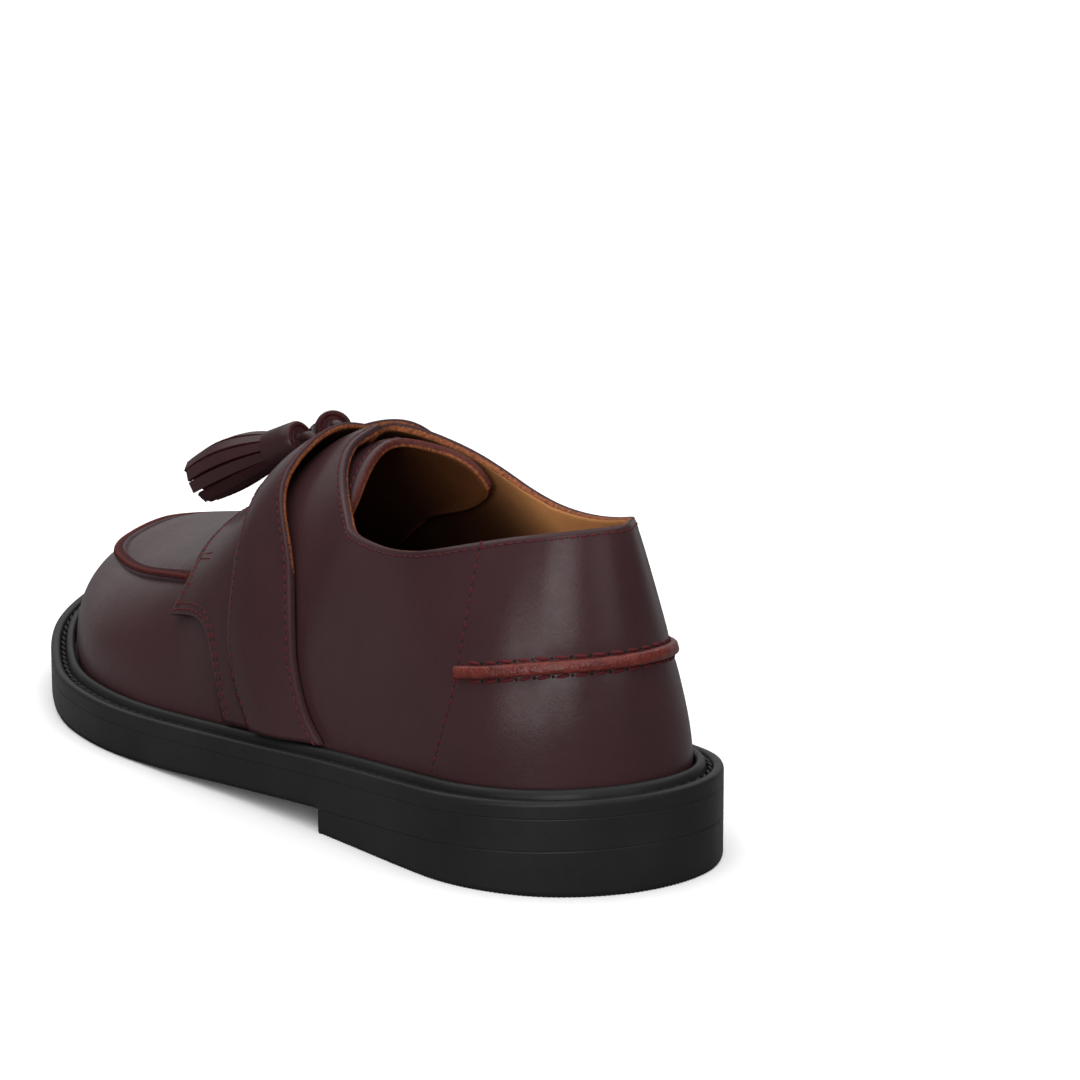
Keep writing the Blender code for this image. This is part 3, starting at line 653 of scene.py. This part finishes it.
PLUG_LINE = [
    (37.3, 159.7, 46.2), (35.5, 179.0, 43.1), (33.3, 196.9, 40.2), (30.1, 213.1, 38.0), (26.4, 227.5, 36.6),
    (23.3, 238.4, 35.9), (20.9, 245.4, 35.8), (17.7, 251.2, 36.0), (13.8, 256.4, 36.1), (8.6, 260.6, 36.8),
    (3.2, 263.1, 37.8), (-4.9, 264.6, 38.8), (-9.3, 264.1, 38.9), (-14.5, 262.1, 39.0), (-19.4, 258.3, 39.4),
    (-22.4, 253.5, 40.1), (-24.8, 247.2, 41.1), (-26.8, 239.6, 42.4), (-28.2, 230.4, 43.4),
    (-29.3, 217.7, 44.0), (-30.1, 202.1, 44.4), (-30.4, 186.8, 45.7), (-30.0, 172.8, 47.1),
]
HEEL_LINE = [
    (-27.6, 34.6, 47.2), (-24.8, 27.6, 48.4), (-21.6, 22.1, 49.4), (-17.8, 17.6, 50.2), (-13.1, 13.7, 50.8),
    (-6.9, 11.0, 51.1), (-0.6, 10.1, 51.1), (5.8, 10.9, 51.0), (12.3, 13.1, 50.7), (17.6, 16.6, 50.2),
    (21.9, 21.0, 49.3), (25.7, 26.8, 48.1), (28.9, 34.6, 46.9),
]
SOFT_WAVES = [  # path, width and depth in millimetres
    ([(44, 118, 34), (40, 108, 46), (33, 100, 56)], 9.0, 0.5),
    ([(40, 70, 50), (36, 60, 62), (31, 52, 68)], 9.0, 0.45),
    ([(46, 150, 30), (40, 172, 32), (36, 196, 28)], 10.0, 0.5),
    ([(30, 30, 34), (24, 20, 36), (12, 12, 36)], 8.0, -0.35),
    (PLUG_LINE, 3.2, 0.45),
    (HEEL_LINE, 3.0, 0.3),
]
for path, width, depth in SOFT_WAVES:
    crease(SHEETS["upper"], curve_through(path, 3.0 * MM), width * MM, depth * MM)
SKINS = {name: Skin(piece) for name, piece in SHEETS.items()}
print("soft waves:", len(SOFT_WAVES))


# %% Ridge round the plug and cord round the heel
def swept_cord(name, line, section, sides, materials):
    """Cord with a closed section of (across, rise) in millimetres carried along a line on the upper."""
    on, run, across, out = laid_on(SKINS["upper"], line, 6)
    corners = np.array(section) * MM
    rings = on[:, None] + across[:, None] * corners[:, :1] + out[:, None] * corners[:, 1:]
    size, last = len(section), (len(on) - 1) * len(section)
    faces = walls(len(on), size) + [tuple(range(size)), tuple(last + c for c in range(size))]
    kinds = sides * (len(on) - 1) + [0, 0]
    return built(name, rings.reshape(-1, 3).tolist(), faces, materials, kinds)


PLUG_SECTION = [
    (-1.9, -0.7), (-1.75, 0.5), (-1.5, 1.2), (-1.2, 1.45), (-0.6, 1.5), (-0.1, 1.6), (0.2, 1.85), (0.45, 2.1),
    (0.8, 2.12), (1.05, 1.9), (1.3, 1.65), (1.55, 1.3), (1.7, 0.4), (1.9, -0.7),
]
# the ridge's crest takes the lighter raw red as a painted highlight, its slopes the darker red as painted
# shade, and its flanks the calf
PLUG_LIT_AND_SHADED_SIDES = [1, 1, 2, 2, 2, 0, 0, 0, 0, 2, 2, 1, 1, 1]
CORD_SECTION = [
    (-1.35, -0.6), (-1.52, 0.2), (-1.5, 0.9), (-1.3, 1.4), (-0.9, 1.7), (0.0, 1.78), (0.9, 1.74), (1.35, 1.5),
    (1.54, 1.0), (1.52, 0.2), (1.35, -0.6),
]
plug_path, heel_path = curve_through(PLUG_LINE, 1.2 * MM), curve_through(HEEL_LINE, 0.9 * MM)
plug_ridge = swept_cord("plug_ridge", plug_path, PLUG_SECTION, PLUG_LIT_AND_SHADED_SIDES, (raw_red_and_highlight, burgundy, dyed_red_and_shade))
heel_cord = swept_cord("heel_cord", heel_path, CORD_SECTION, [0] * 11, (cord_leather,))
print("ridge and cord have", len(plug_ridge.data.polygons), "and", len(heel_cord.data.polygons), "faces")

# %% [markdown]
# ## Stitches
# A row of stitches follows the edge of the leather it holds. Rows could be drawn one stitch at a
# time; instead each row is a line of points set in from an edge, and a Geometry Nodes tree puts one
# short thread on every point, turned along the row and lying on the leather.

# %% Geometry Nodes: one thread on every point
def thread_tree():
    """Points in, short threads out; run and out on each point give the way it lies."""
    tree = bpy.data.node_groups.new("thread_row", "GeometryNodeTree")
    kinds = {"Geometry": "Geometry", "Length": "Float", "Thickness": "Float", "Unevenness": "Float"}
    kinds.update({"Seed": "Int", "Material": "Material"})
    for label, kind in kinds.items():
        tree.interface.new_socket(label, in_out="INPUT", socket_type="NodeSocket" + kind)
    tree.interface.new_socket("Geometry", in_out="OUTPUT", socket_type="NodeSocketGeometry")
    start = add(tree, "NodeGroupInput").outputs
    ball = add(tree, "GeometryNodeMeshUVSphere", Segments=8, Rings=6, Radius=0.5)
    smooth = add(tree, "GeometryNodeSetShadeSmooth", Geometry=ball.outputs["Mesh"])
    thick = start["Thickness"]
    size = add(tree, "ShaderNodeCombineXYZ", X=start["Length"], Y=thick, Z=thick)
    turn = add(tree, "FunctionNodeAxesToRotation", primary_axis="X", secondary_axis="Z")
    for label, socket in (("run", "Primary Axis"), ("out", "Secondary Axis")):
        way = add(tree, "GeometryNodeInputNamedAttribute", data_type="FLOAT_VECTOR", Name=label)
        tree.links.new(way.outputs["Attribute"], turn.inputs[socket])
    vary = add(tree, "FunctionNodeRandomValue", data_type="FLOAT", Seed=start["Seed"])
    least, most = [s for s in vary.inputs if s.type == "VALUE"][:2]
    feed(tree, least, maths(tree, "SUBTRACT", 1.0, start["Unevenness"]))
    feed(tree, most, 1.0)
    share = next(s for s in vary.outputs if s.type == "VALUE")
    scaled = add(tree, "ShaderNodeVectorMath", operation="SCALE", Vector=size.outputs[0], Scale=share)
    copies = add(
        tree, "GeometryNodeInstanceOnPoints", Points=start["Geometry"], Instance=smooth.outputs["Geometry"],
        Rotation=turn.outputs["Rotation"], Scale=scaled.outputs["Vector"],
    )
    real = add(tree, "GeometryNodeRealizeInstances", Geometry=copies.outputs["Instances"])
    dye = add(tree, "GeometryNodeSetMaterial", Geometry=real.outputs["Geometry"], Material=start["Material"])
    add(tree, "NodeGroupOutput", Geometry=dye.outputs["Geometry"])
    return tree


THREADS = thread_tree()
print("thread tree has", len(THREADS.nodes), "nodes")


# %% Rows of stitches and the holes between them
UNEVENNESS = 0.15  # share by which the threads of a row differ in size
SINK = 0.05 * MM  # how deep a stitch is pulled into the leather
WIDEST_GAP = 6 * MM  # beyond this two stitches don't belong to one row


def sewn(name, rows, length, thickness, material, slot, seed=3):
    """Makes one mesh of threads from rows of (points, ways along, ways out)."""
    points, run, out = (np.concatenate(group) for group in zip(*rows))
    mesh = bpy.data.meshes.new(name + "_points")
    mesh.from_pydata(points.tolist(), [], [])
    for label, values in (("run", run), ("out", out)):
        mesh.attributes.new(label, "FLOAT_VECTOR", "POINT").data.foreach_set("vector", values.ravel())
    holder = linked(name + "_points", mesh)
    modifier = holder.modifiers.new("threads", "NODES")
    modifier.node_group = THREADS
    values = {"Length": length, "Thickness": thickness, "Unevenness": UNEVENNESS}
    values.update({"Seed": seed, "Material": material})
    for item in THREADS.interface.items_tree:
        if item.in_out == "INPUT" and item.name in values:
            modifier[item.identifier] = values[item.name]
    print(name, "has", len(points), "stitches")
    return settle(frozen(name, holder), slot, angle=180)


def row(path, skin, pitch, sink=SINK, slant=0.0, shift=0.0):
    """Stitch places along a line on a sheet, set across by a shift."""
    on, run, side, out = laid_on(skin, evenly(path, pitch), 0)
    run = run * math.cos(slant) + side * math.sin(slant)
    return on + side * shift - out * sink, run, out


def between(stitches):
    """Needle holes half way between the stitches of a row."""
    points, run, out = stitches
    middle = (points[:-1] + points[1:]) / 2
    near = np.linalg.norm(points[:-1] - points[1:], axis=1) < WIDEST_GAP
    return middle[near], run[:-1][near], out[:-1][near]


# %% Rows along the edges
FINE_PITCH, FINE_LENGTH, FINE_THICK = 2.5 * MM, 2.1 * MM, 0.58 * MM
SADDLE_FRONT = (44.5, 127.5, 16.3), (-31.2, 134.9, 15.8), (0.0, 203.0, 53.6)
EDGE_ROWS = [  # sheet; where a row starts, ends and passes; how far it is set in, and towards where
    ("upper", (2.5, 124, 86), (-3.0, 124, 86), (0, 5, 80), 1.5, (0, 20, 20)),
    ("instep_strap", (38.4, 85.6, 19.3), (-24.6, 122.6, 59.8), (-1.4, 138.6, 84.7), 1.6, (0, 184, 60)),
    ("instep_strap", (42.4, 114.5, 17.0), (-29.7, 144.6, 49.6), (0.0, 186.1, 59.0), 1.4, (0, 137, 88)),
    ("saddle", *SADDLE_FRONT, 1.3, (0, 150, 90)),
    ("saddle", *SADDLE_FRONT, 2.9, (0, 150, 90)),
    ("strap_tab", (-30.1, 102.6, 18.3), (-19.4, 125.2, 72.9), (-26.9, 119.8, 50.5), 1.5, (-34, 150, 40)),
    ("tongue", (29.3, 126.8, 63.0), (-17.6, 126.8, 63.5), (-0.2, 117.4, 88.0), 2.8, (0, 180, 50)),
]
LOOPS["upper"].sort(key=lambda ring: -ring[:, 2].max())  # the collar is the loop that reaches highest
rows = []
for sheet, start, end, via, inset, goal in EDGE_ROWS:
    edge = stretch(LOOPS[sheet][0], place(*start), place(*end), place(*via))
    rows.append(row(set_in(edge, SKINS[sheet], inset * MM, place(*goal)), SKINS[sheet], FINE_PITCH))
print("rows along the edges:", len(rows))

# %% Bars at the ends of the saddle and seams beside the heel
BAR_PITCH, SEAM_PITCH, SEAM_SINK = 2.2 * MM, 2.6 * MM, 0.02 * MM
BARS = [
    ((35.8, 156.5, 53.0), (36.4, 149.0, 54.4)), ((36.2, 157.5, 51.2), (37.6, 148.0, 53.2)),
    ((-27.5, 156.5, 53.0), (-28.0, 149.0, 54.4)), ((-28.0, 157.5, 51.2), (-29.0, 148.0, 53.2)),
]
SEAM = [(35.9, 76.6), (34.9, 68.9), (34.0, 58.9), (34.2, 49.4), (35.1, 40.4), (38.6, 30.3), (42.4, 21.7)]
SEAM_ACROSS = [21.2, 23.9, 26.4, 28.4, 29.8, 31.0, 31.4], [-20, -22, -25, -27, -28.5, -30, -30.5]
for bar in BARS:
    rows.append(row(np.array([place(*p) for p in bar]), SKINS["saddle"], BAR_PITCH))
for wide in SEAM_ACROSS:
    path = np.array([place(x, *p) for x, p in zip(wide, SEAM)])
    rows.append(row(path, SKINS["upper"], SEAM_PITCH, SEAM_SINK))
sewn("wine_stitches", rows, FINE_LENGTH, FINE_THICK, thread, "upper_leather")
holes = [between(stitches) for stitches in rows]
sewn("needle_holes", holes, 0.55 * MM, 0.5 * MM, black_cord, "upper_leather", seed=4)

# %% Heavy rows on both sides of the heel cord
HEAVY_PITCH, HEAVY_SHIFT, HEAVY_SLANT = 4.3 * MM, 2.1 * MM, 0.10
heavy = [
    row(heel_path[3:-3], SKINS["upper"], HEAVY_PITCH, slant=HEAVY_SLANT * side, shift=side * HEAVY_SHIFT)
    for side in (1, -1)
]
sewn("heel_cord_stitches", heavy, 4.1 * MM, 1.1 * MM, thread, "upper_leather", seed=5)
holes = [between(side) for side in heavy]
sewn("heel_cord_holes", holes, 1.0 * MM, 1.0 * MM, black_cord, "upper_leather", seed=6)

# %% [markdown]
# ## The sole
# A storm welt is a strip with a raised bead against the leather, a groove for the heavy thread and a
# rounded lip outside. Under it lie the outsole and the heel block, glued so closely that only a fine
# line shows. All three are one outline with a section carried round it, so the outline is read from
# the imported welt, made finer, and each part is swept from its own short table of (set in, rise).

# %% Outline of the sole
def side_ring(node):
    """Upper edge of the side wall of a packed sole part as a closed loop from the back of the heel."""
    solid = merged(node)
    wall = max(smooth_regions(solid), key=lambda faces: max(v.co.x for f in faces for v in f.verts))
    loops = outline(wall)
    solid.free()
    ring = max(loops, key=lambda points: points[:, 2].mean())
    ring = np.roll(ring, -np.argmax(ring[:, 1]), axis=0)
    return ring if ring[1, 0] > ring[-1, 0] else np.roll(ring[::-1], 1, axis=0)


def finer(ring, count):
    """Closed loop resampled evenly on a smooth curve through its points."""
    ends = np.concatenate([ring[-3:], ring, ring[:3]])
    steps = np.linalg.norm(np.diff(ends, axis=0), axis=1) ** 0.5
    knots = np.concatenate([[0.0], np.cumsum(steps)])
    dense = np.linspace(knots[3], knots[3 + len(ring)], 6000)
    lean = np.gradient(ends, knots, axis=0)
    i = np.clip(np.searchsorted(knots, dense, side="right") - 1, 0, len(knots) - 2)
    width = (knots[i + 1] - knots[i])[:, None]
    t = (dense - knots[i])[:, None] / width
    curve = (
        ends[i] * (1 + 2 * t) * (1 - t) ** 2
        + ends[i + 1] * t**2 * (3 - 2 * t)
        + width * lean[i] * t * (1 - t) ** 2
        + width * lean[i + 1] * t**2 * (t - 1)
    )
    walked = lengths_along(curve)
    return points_at(curve, walked, np.arange(count) * walked[-1] / count)


def inwards(ring):
    """Level unit vectors into a closed loop."""
    along = np.roll(ring, -1, axis=0) - np.roll(ring, 1, axis=0)
    along[:, 2] = 0
    along = unit(along)
    inside = np.stack([along[:, 1], -along[:, 0], np.zeros(len(ring))], axis=1)
    towards = ring.mean(axis=0) - ring
    return inside if (inside * towards).sum() > 0 else -inside


def swept(name, rings, closed):
    """Rubber of loops joined one to the next; closed joins the last to the first, else both are capped."""
    count, last = len(rings[0]), (len(rings) - 1) * len(rings[0])
    faces = walls(len(rings), count)
    if closed:
        faces += [(last + i, last + (i + 1) % count, (i + 1) % count, i) for i in range(count)]
    for first in () if closed else (0, last):
        faces.append((first, first + 1, first + count - 1))
        i = 1
        while i + 1 < count - i - 1:
            faces.append((first + i, first + i + 1, first + count - i - 1, first + count - i))
            i += 1
        if i + 1 == count - i - 1:
            faces.append((first + i, first + i + 1, first + count - i))
    return built(name, np.concatenate(rings).tolist(), faces, (rubber,))


WELT_LIP = 0.8 * MM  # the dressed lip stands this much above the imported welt's wall
cad_ring = side_ring("welt")
cad_ring[:, 2] += WELT_LIP
RING = finer(cad_ring, 720)
INTO = inwards(RING)
print("outline:", len(cad_ring), "packed points to", len(RING))


# %% Welt with bead, groove and lip
def from_lip(inset, rise):
    """The outline set in and raised by millimetres."""
    return RING + INTO * inset * MM + UP * rise * MM


WELT_SECTION = [
    (0.1, -4.12), (0.03, -4.08), (0.0, -4.0), (0.0, -3.8), (0.0, -1.5), (0.0, -1.2), (0.08, -0.7),
    (0.3, -0.28), (0.7, -0.03), (1.4, 0.05), (2.2, -0.1), (2.5, -0.5), (2.65, -1.1), (3.0, -1.4),
    (3.6, -1.4), (3.95, -1.1), (4.1, -0.3), (4.3, 0.5), (4.75, 1.15), (5.3, 1.4), (5.9, 1.35),
    (6.4, 0.95), (6.6, 0.4), (6.6, -1.5), (9.3, -1.5), (9.3, -4.12),
]
storm_welt = swept("storm_welt", [from_lip(*corner) for corner in WELT_SECTION], True)
settle(storm_welt, "sole_rubber", "welt", angle=60)

# %% Heavy thread in the groove
GROOVE = 3.3, -0.95  # set in and rise of the thread
CORD_PITCH, CORD_LENGTH, CORD_THICK, CORD_SLANT = 4.4 * MM, 4.7 * MM, 1.15 * MM, 0.22
groove = from_lip(*GROOVE)
places = evenly(np.concatenate([groove, groove[:1]]), CORD_PITCH)
run = tangents(places)
up = np.tile(UP, (len(places), 1))
run = run * math.cos(CORD_SLANT) + np.cross(up, run) * math.sin(CORD_SLANT)
sewn("welt_cord", [(places, run, up)], CORD_LENGTH, CORD_THICK, black_cord, "sole_rubber", seed=11)

# %% Outsole with a toothed lower edge
HEEL_BREAST = 79.0  # from_heel of the front of the heel block
SOLE_TREAD = np.array([  # from_heel, height of the tread
    (0, 11.0), (40, 8.5), (79, 5.7), (110, 3.3), (145, 0.9), (165, 0.0), (205, 0.0), (235, 1.3),
    (262, 3.8), (287, 6.6),
])


def tread_height(ring):
    """Height of the tread under a loop, read from the short table on a smooth curve."""
    fine = np.linspace(0, SOLE_LENGTH, 288)
    rough = np.interp(fine, *SOLE_TREAD.T)
    kernel = np.hanning(31) / np.hanning(31).sum()
    eased = np.convolve(np.pad(rough, 15, mode="reflect", reflect_type="odd"), kernel, mode="valid")
    return np.interp(place_of(ring)[1], fine, np.maximum(eased, 0.0)) * MM


def teeth(ring):
    """Zigzag from 0 to 1 round a loop, four points to a tooth."""
    return np.abs(np.arange(len(ring)) % 4 - 2) / 2.0


def at_heights(ring, levels):
    """The loop once for every level, set in by millimetres and laid at a height."""
    into = inwards(ring)
    made = []
    for inset, height in levels:
        points = ring + into * (np.zeros(len(ring)) + inset)[:, None] * MM
        points[:, 2] = height
        made.append(points)
    return made


sole_ring = finer(cad_ring, 2304)
tread, tooth = tread_height(sole_ring), teeth(sole_ring)
top = sole_ring[:, 2] - 4.14 * MM
fore = np.clip((place_of(sole_ring)[1] - HEEL_BREAST + 1.0) / 2.0, 0, 1)
outsole_levels = [
    (1.3 * fore + 0.1, tread),
    ((0.35 + 0.45 * tooth) * fore + 0.1, tread + 0.12 * MM * fore),
    ((0.05 + 0.2 * tooth) * fore, tread + 0.9 * MM * fore + 0.1 * MM),
    (0.0, tread + 1.2 * MM * fore + 0.3 * MM),
    (0.0, tread + 1.5 * MM * fore + 0.6 * MM),
    (0.0, top - 0.3 * MM),
    (0.0, top - 0.06 * MM),
    (0.04, top),
]
outsole = swept("outsole_rubber", at_heights(sole_ring, outsole_levels), False)
settle(outsole, "sole_rubber", "outsole", angle=45)

# %% Heel block
arc = place_of(sole_ring)[1] <= HEEL_BREAST - 0.2
back = np.roll(np.arange(len(arc)), -np.argmax(~arc))
back = sole_ring[back[arc[back]]]
breast = back[-1] + (back[0] - back[-1]) * np.linspace(0, 1, 122)[1:-1, None]
heel_ring = np.concatenate([back, breast])
heel_ring = np.roll(heel_ring, -np.argmax(heel_ring[:, 1]), axis=0)
heel_top, tooth = tread_height(heel_ring), teeth(heel_ring)
heel_levels = [
    (1.2, 0.0),
    (0.25 + 0.35 * tooth, 0.02 * MM),
    (0.15 * tooth, 0.7 * MM),
    (0.0, 1.0 * MM),
    (0.0, 1.3 * MM),
    (0.0, heel_top - 0.4 * MM),
    (0.0, heel_top - 0.12 * MM),
    (0.06, heel_top - 0.04 * MM),
]
heel_block = swept("heel_block", at_heights(heel_ring, heel_levels), False)
settle(heel_block, "sole_rubber", "heel", angle=45)

# %% [markdown]
# ## Tassels
# Each tassel is a strip of leather cut into a fringe, rolled up and held by a wrapped cap. The packed
# tassel is one body with ten plain strips. Here the cap is turned from a profile with the lap of its
# wrap, and the strips are thin bent bars with a polished face and dyed dark red sides, in two rows so
# that the inner ones show between the outer ones.

# %% Wrapped cap
TASSELS = {  # start, tip and seed
    "tassel_outer": ((2.6, 167.2, 77.8), (16.0, 200.6, 62.3), 21),
    "tassel_inner": ((-8.7, 171.6, 79.0), (-21.0, 208.0, 60.0), 34),
}
CAP_PROFILE = [
    (0.5, 1.2), (0.45, 1.9), (0.2, 2.2), (0.2, 2.9), (0.5, 3.1), (0.5, 3.3), (0.1, 3.5), (0.1, 4.1),
    (0.3, 4.4), (0.9, 4.6), (4.0, 4.75), (7.5, 4.85), (10.4, 4.95), (10.8, 4.9), (10.95, 4.7),
    (10.9, 4.1), (10.0, 3.6),
]
CAP_SIDES, CAP_LAP = 40, 0.3
CUT_STEPS = (2, 4, 5, 6, 7, 14)  # steps of the profile that show a cut edge
FACE, CUT = 0, 1  # places of the materials


def square_to(axis):
    """Two level and upright directions square to an axis."""
    flat = np.cross(axis, UP)
    flat /= np.linalg.norm(flat)
    return flat, np.cross(flat, axis)


def turned_cap(start, axis):
    """Points and faces of the wrapped cap, with the step where the wrap laps over itself."""
    flat, upright = square_to(axis)
    points = [start + axis * 0.1 * MM]
    for along, radius in CAP_PROFILE:
        for k in range(CAP_SIDES):
            angle = 2 * math.pi * k / CAP_SIDES
            lap = CAP_LAP * (1 - k / CAP_SIDES) if along > 0.8 else 0.0
            out = flat * math.cos(angle) + upright * math.sin(angle)
            points.append(start + (axis * along + out * (radius + lap)) * MM)
    last = 1 + (len(CAP_PROFILE) - 1) * CAP_SIDES
    faces = [(0, 1 + (k + 1) % CAP_SIDES, 1 + k) for k in range(CAP_SIDES)]
    faces += walls(len(CAP_PROFILE), CAP_SIDES, 1) + [tuple(last + k for k in range(CAP_SIDES))]
    kinds = [FACE] * CAP_SIDES
    for step in range(len(CAP_PROFILE) - 1):
        kinds += [CUT if step in CUT_STEPS else FACE] * CAP_SIDES
    return points, faces, kinds + [FACE]


print("cap profile has", len(CAP_PROFILE), "steps")

# %% Fringe of cut strips
STRIP_ROOT = 9.0  # where the strips start under the cap
STRIP_WIDE, STRIP_THICK, STRIP_STEPS = 3.1, 1.15, 12
STRIP_SECTION = [
    (-1, -0.75), (-0.94, -1), (0.94, -1), (1, -0.75), (1, 0.75), (0.94, 1), (-0.94, 1), (-1, 0.75),
]
STRIP_KINDS = [CUT, FACE, CUT, CUT, CUT, FACE, CUT, CUT]
FRINGE = ((11, 3.6, 0.0), (7, 2.0, 0.3))  # strips in a ring, its radius and its turn


def fringe_strip(start, axis, length, angle, ring, chance):
    """Points and faces of one cut strip, which leaves the cap, bows up and spreads."""
    flat, upright = square_to(axis)
    out = flat * math.cos(angle) + upright * math.sin(angle)
    beside = np.cross(axis, out)
    twist = chance.uniform(-0.22, 0.22)
    sway = chance.uniform(-0.9, 0.9)
    reach = length - chance.uniform(0.0, 2.6)
    bow = 1.1 + chance.uniform(-0.4, 0.4)
    points = []
    for k in range(STRIP_STEPS + 1):
        t = k / STRIP_STEPS
        spread = ring * (1 + 0.75 * math.sin(2.3 * t))
        full = STRIP_WIDE * (0.72 + 0.28 * min(1.0, 1.8 * t))
        middle = start + (axis * (STRIP_ROOT + (reach - STRIP_ROOT) * t) + out * spread) * MM
        middle = middle + UP * 4 * bow * t * (1 - t) * MM + beside * sway * t * t * MM
        across = beside * math.cos(twist * t) + out * math.sin(twist * t)
        through = out * math.cos(twist * t) - beside * math.sin(twist * t)
        for a, b in STRIP_SECTION:
            points.append(middle + (across * a * full / 2 + through * b * STRIP_THICK / 2) * MM)
    last = STRIP_STEPS * 8
    faces = walls(STRIP_STEPS + 1, 8) + [tuple(range(7, -1, -1)), tuple(last + c for c in range(8))]
    return points, faces, STRIP_KINDS * STRIP_STEPS + [CUT, CUT]


def tassel_piece(name, start, tip, seed):
    """Cap and fringe of one tassel as one piece."""
    start, tip = place(*start), place(*tip)
    length = np.linalg.norm(tip - start) / MM
    axis = (tip - start) / np.linalg.norm(tip - start)
    chance = np.random.default_rng(seed)
    parts = [turned_cap(start, axis)]
    for count, ring, offset in FRINGE:
        for k in range(count):
            angle = 2 * math.pi * k / count + offset + chance.uniform(-0.08, 0.08)
            parts.append(fringe_strip(start, axis, length, angle, ring, chance))
    points, faces, kinds = [], [], []
    for some, sides, kind in parts:
        base = len(points)
        points += [tuple(p) for p in some]
        faces += [tuple(base + v for v in side) for side in sides]
        kinds += kind
    made = built(name + "_leather", points, faces, (burgundy, dyed_red_and_shade), kinds)
    return settle(made, "upper_leather", name, angle=40)


for name, sizes in TASSELS.items():
    tassel_piece(name, *sizes)


# %% Lace and sock
def plain_copy(node, material, levels, corner):
    """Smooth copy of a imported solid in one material."""
    return smoothed(node + "_smooth", merged(node), (material,), levels, math.radians(45), corner)


settle(plain_copy("tassel_lace", burgundy, 2, 0.0), "upper_leather", "tassel_lace")
settle(plain_copy("insole", sock_leather, 1, 0.7), "lining_leather", "insole")

# %% [markdown]
# ## Tying the leather to the model
# The sheets and cords are finished, so each is tied to the one rigid body of the shoe and takes the
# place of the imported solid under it.

# %% Tie the sheets and cords
for node, piece in SHEETS.items():
    settle(piece, "upper_leather", node)
settle(plug_ridge, "raw_edge", "apron_roll", angle=35)
settle(heel_cord, "raw_edge", "heel_roll", angle=60)

# %% [markdown]
# ## Floor, light and camera
# A wide pale floor catches a soft shadow. One large light hangs above, and three stand beside and
# behind the heel, which draw the long soft highlights down the leather. The world adds a bright
# ceiling and a dimmer backdrop in front of the toe. Polished leather would mirror a white floor, so
# the floor and the world are pale only to the camera, by the Light Path, and dimmer to reflections.

# %% Floor
PAPER_DARK, PAPER_LIGHT, PAPER_MIRRORED = grey(0.90), grey(0.92), grey(0.18)
floor_mesh = bpy.data.meshes.new("floor")
floor_mesh.from_pydata([(-30, -30, 0), (30, -30, 0), (30, 30, 0), (-30, 30, 0)], [], [(0, 1, 2, 3)])
floor = linked("floor", floor_mesh)
floor_paint, tree, shader = new_material("pale_floor", 0.9, 0.0)
paper = noise(tree, Scale=6.0, Detail=2.0)
white = mixed(tree, remap(tree, paper, 0.3, 0.7), PAPER_DARK, PAPER_LIGHT)
seen = add(tree, "ShaderNodeLightPath").outputs["Is Camera Ray"]
tree.links.new(mixed(tree, seen, PAPER_MIRRORED, white), shader.inputs["Base Color"])
floor_mesh.materials.append(floor_paint)
print("floor is", floor.dimensions.x, "m wide")

# %% World
scene = bpy.context.scene
scene.view_settings.view_transform = "Standard"
studio = bpy.data.worlds.new("studio")
studio.use_nodes = True
scene.world = studio
sky = studio.node_tree
way = add(sky, "ShaderNodeTexCoord").outputs["Generated"]


def facing(direction, low, high, dim, bright):
    """Brightness that grows from dim to bright as the way turns towards a direction."""
    return remap(sky, dot(sky, way, direction), low, high, dim, bright)


backdrop = facing((-0.49, -0.87, 0.1), 0.70, 0.95, 0.10, 0.41)
ceiling = facing((0.0, 0.0, 1.0), 0.42, 0.62, 0.0, 1.0)
seen = add(sky, "ShaderNodeLightPath").outputs["Is Camera Ray"]
shown = mixed(sky, seen, mixed(sky, ceiling, backdrop, grey(1.5)), grey(1.0))
sky.links.new(shown, sky.nodes["Background"].inputs["Color"])
print("world:", studio.name, "with", len(sky.nodes), "nodes")

# %% Lamps
LAMPS = [  # name, place, what it faces, width, height and power
    ("overhead", (0.0, -0.2, 1.6), (0.0, 0.0, 0.0), 2.2, 2.2, 8.3),
    ("beside_heel", (0.95, 1.64, 0.55), (0.0, 0.0, 0.05), 1.2, 0.6, 14.3),
    ("low_beside", (0.78, 0.47, 0.11), (0.0, 0.0, 0.04), 0.6, 0.2, 1.9),
    ("behind_heel", (-0.6, 1.75, 0.5), (0.0, 0.0, 0.05), 0.85, 0.6, 2.8),
]
for name, position, aim, width, height, power in LAMPS:
    data = bpy.data.lights.new(name, "AREA")
    data.shape = "RECTANGLE"
    data.size, data.size_y, data.energy = width, height, power
    lamp = linked(name, data)
    lamp.location = position
    lamp.rotation_euler = (Vector(aim) - Vector(position)).to_track_quat("-Z", "Y").to_euler()
print("lamps:", ", ".join(lamp[0] for lamp in LAMPS))

# %% Camera
BACK = Vector((0.4804, 0.8536, 0.2017))
camera_data = bpy.data.cameras.new("camera")
camera_data.lens = 126.667
camera_data.sensor_width = 36.0
camera_data.clip_end = 100.0
camera = linked("camera", camera_data)
camera.location = (0.41875, 0.8459, 0.2493)
camera.rotation_euler = BACK.to_track_quat("Z", "Y").to_euler()
scene.camera = camera
print("camera at", tuple(round(c, 3) for c in camera.location))
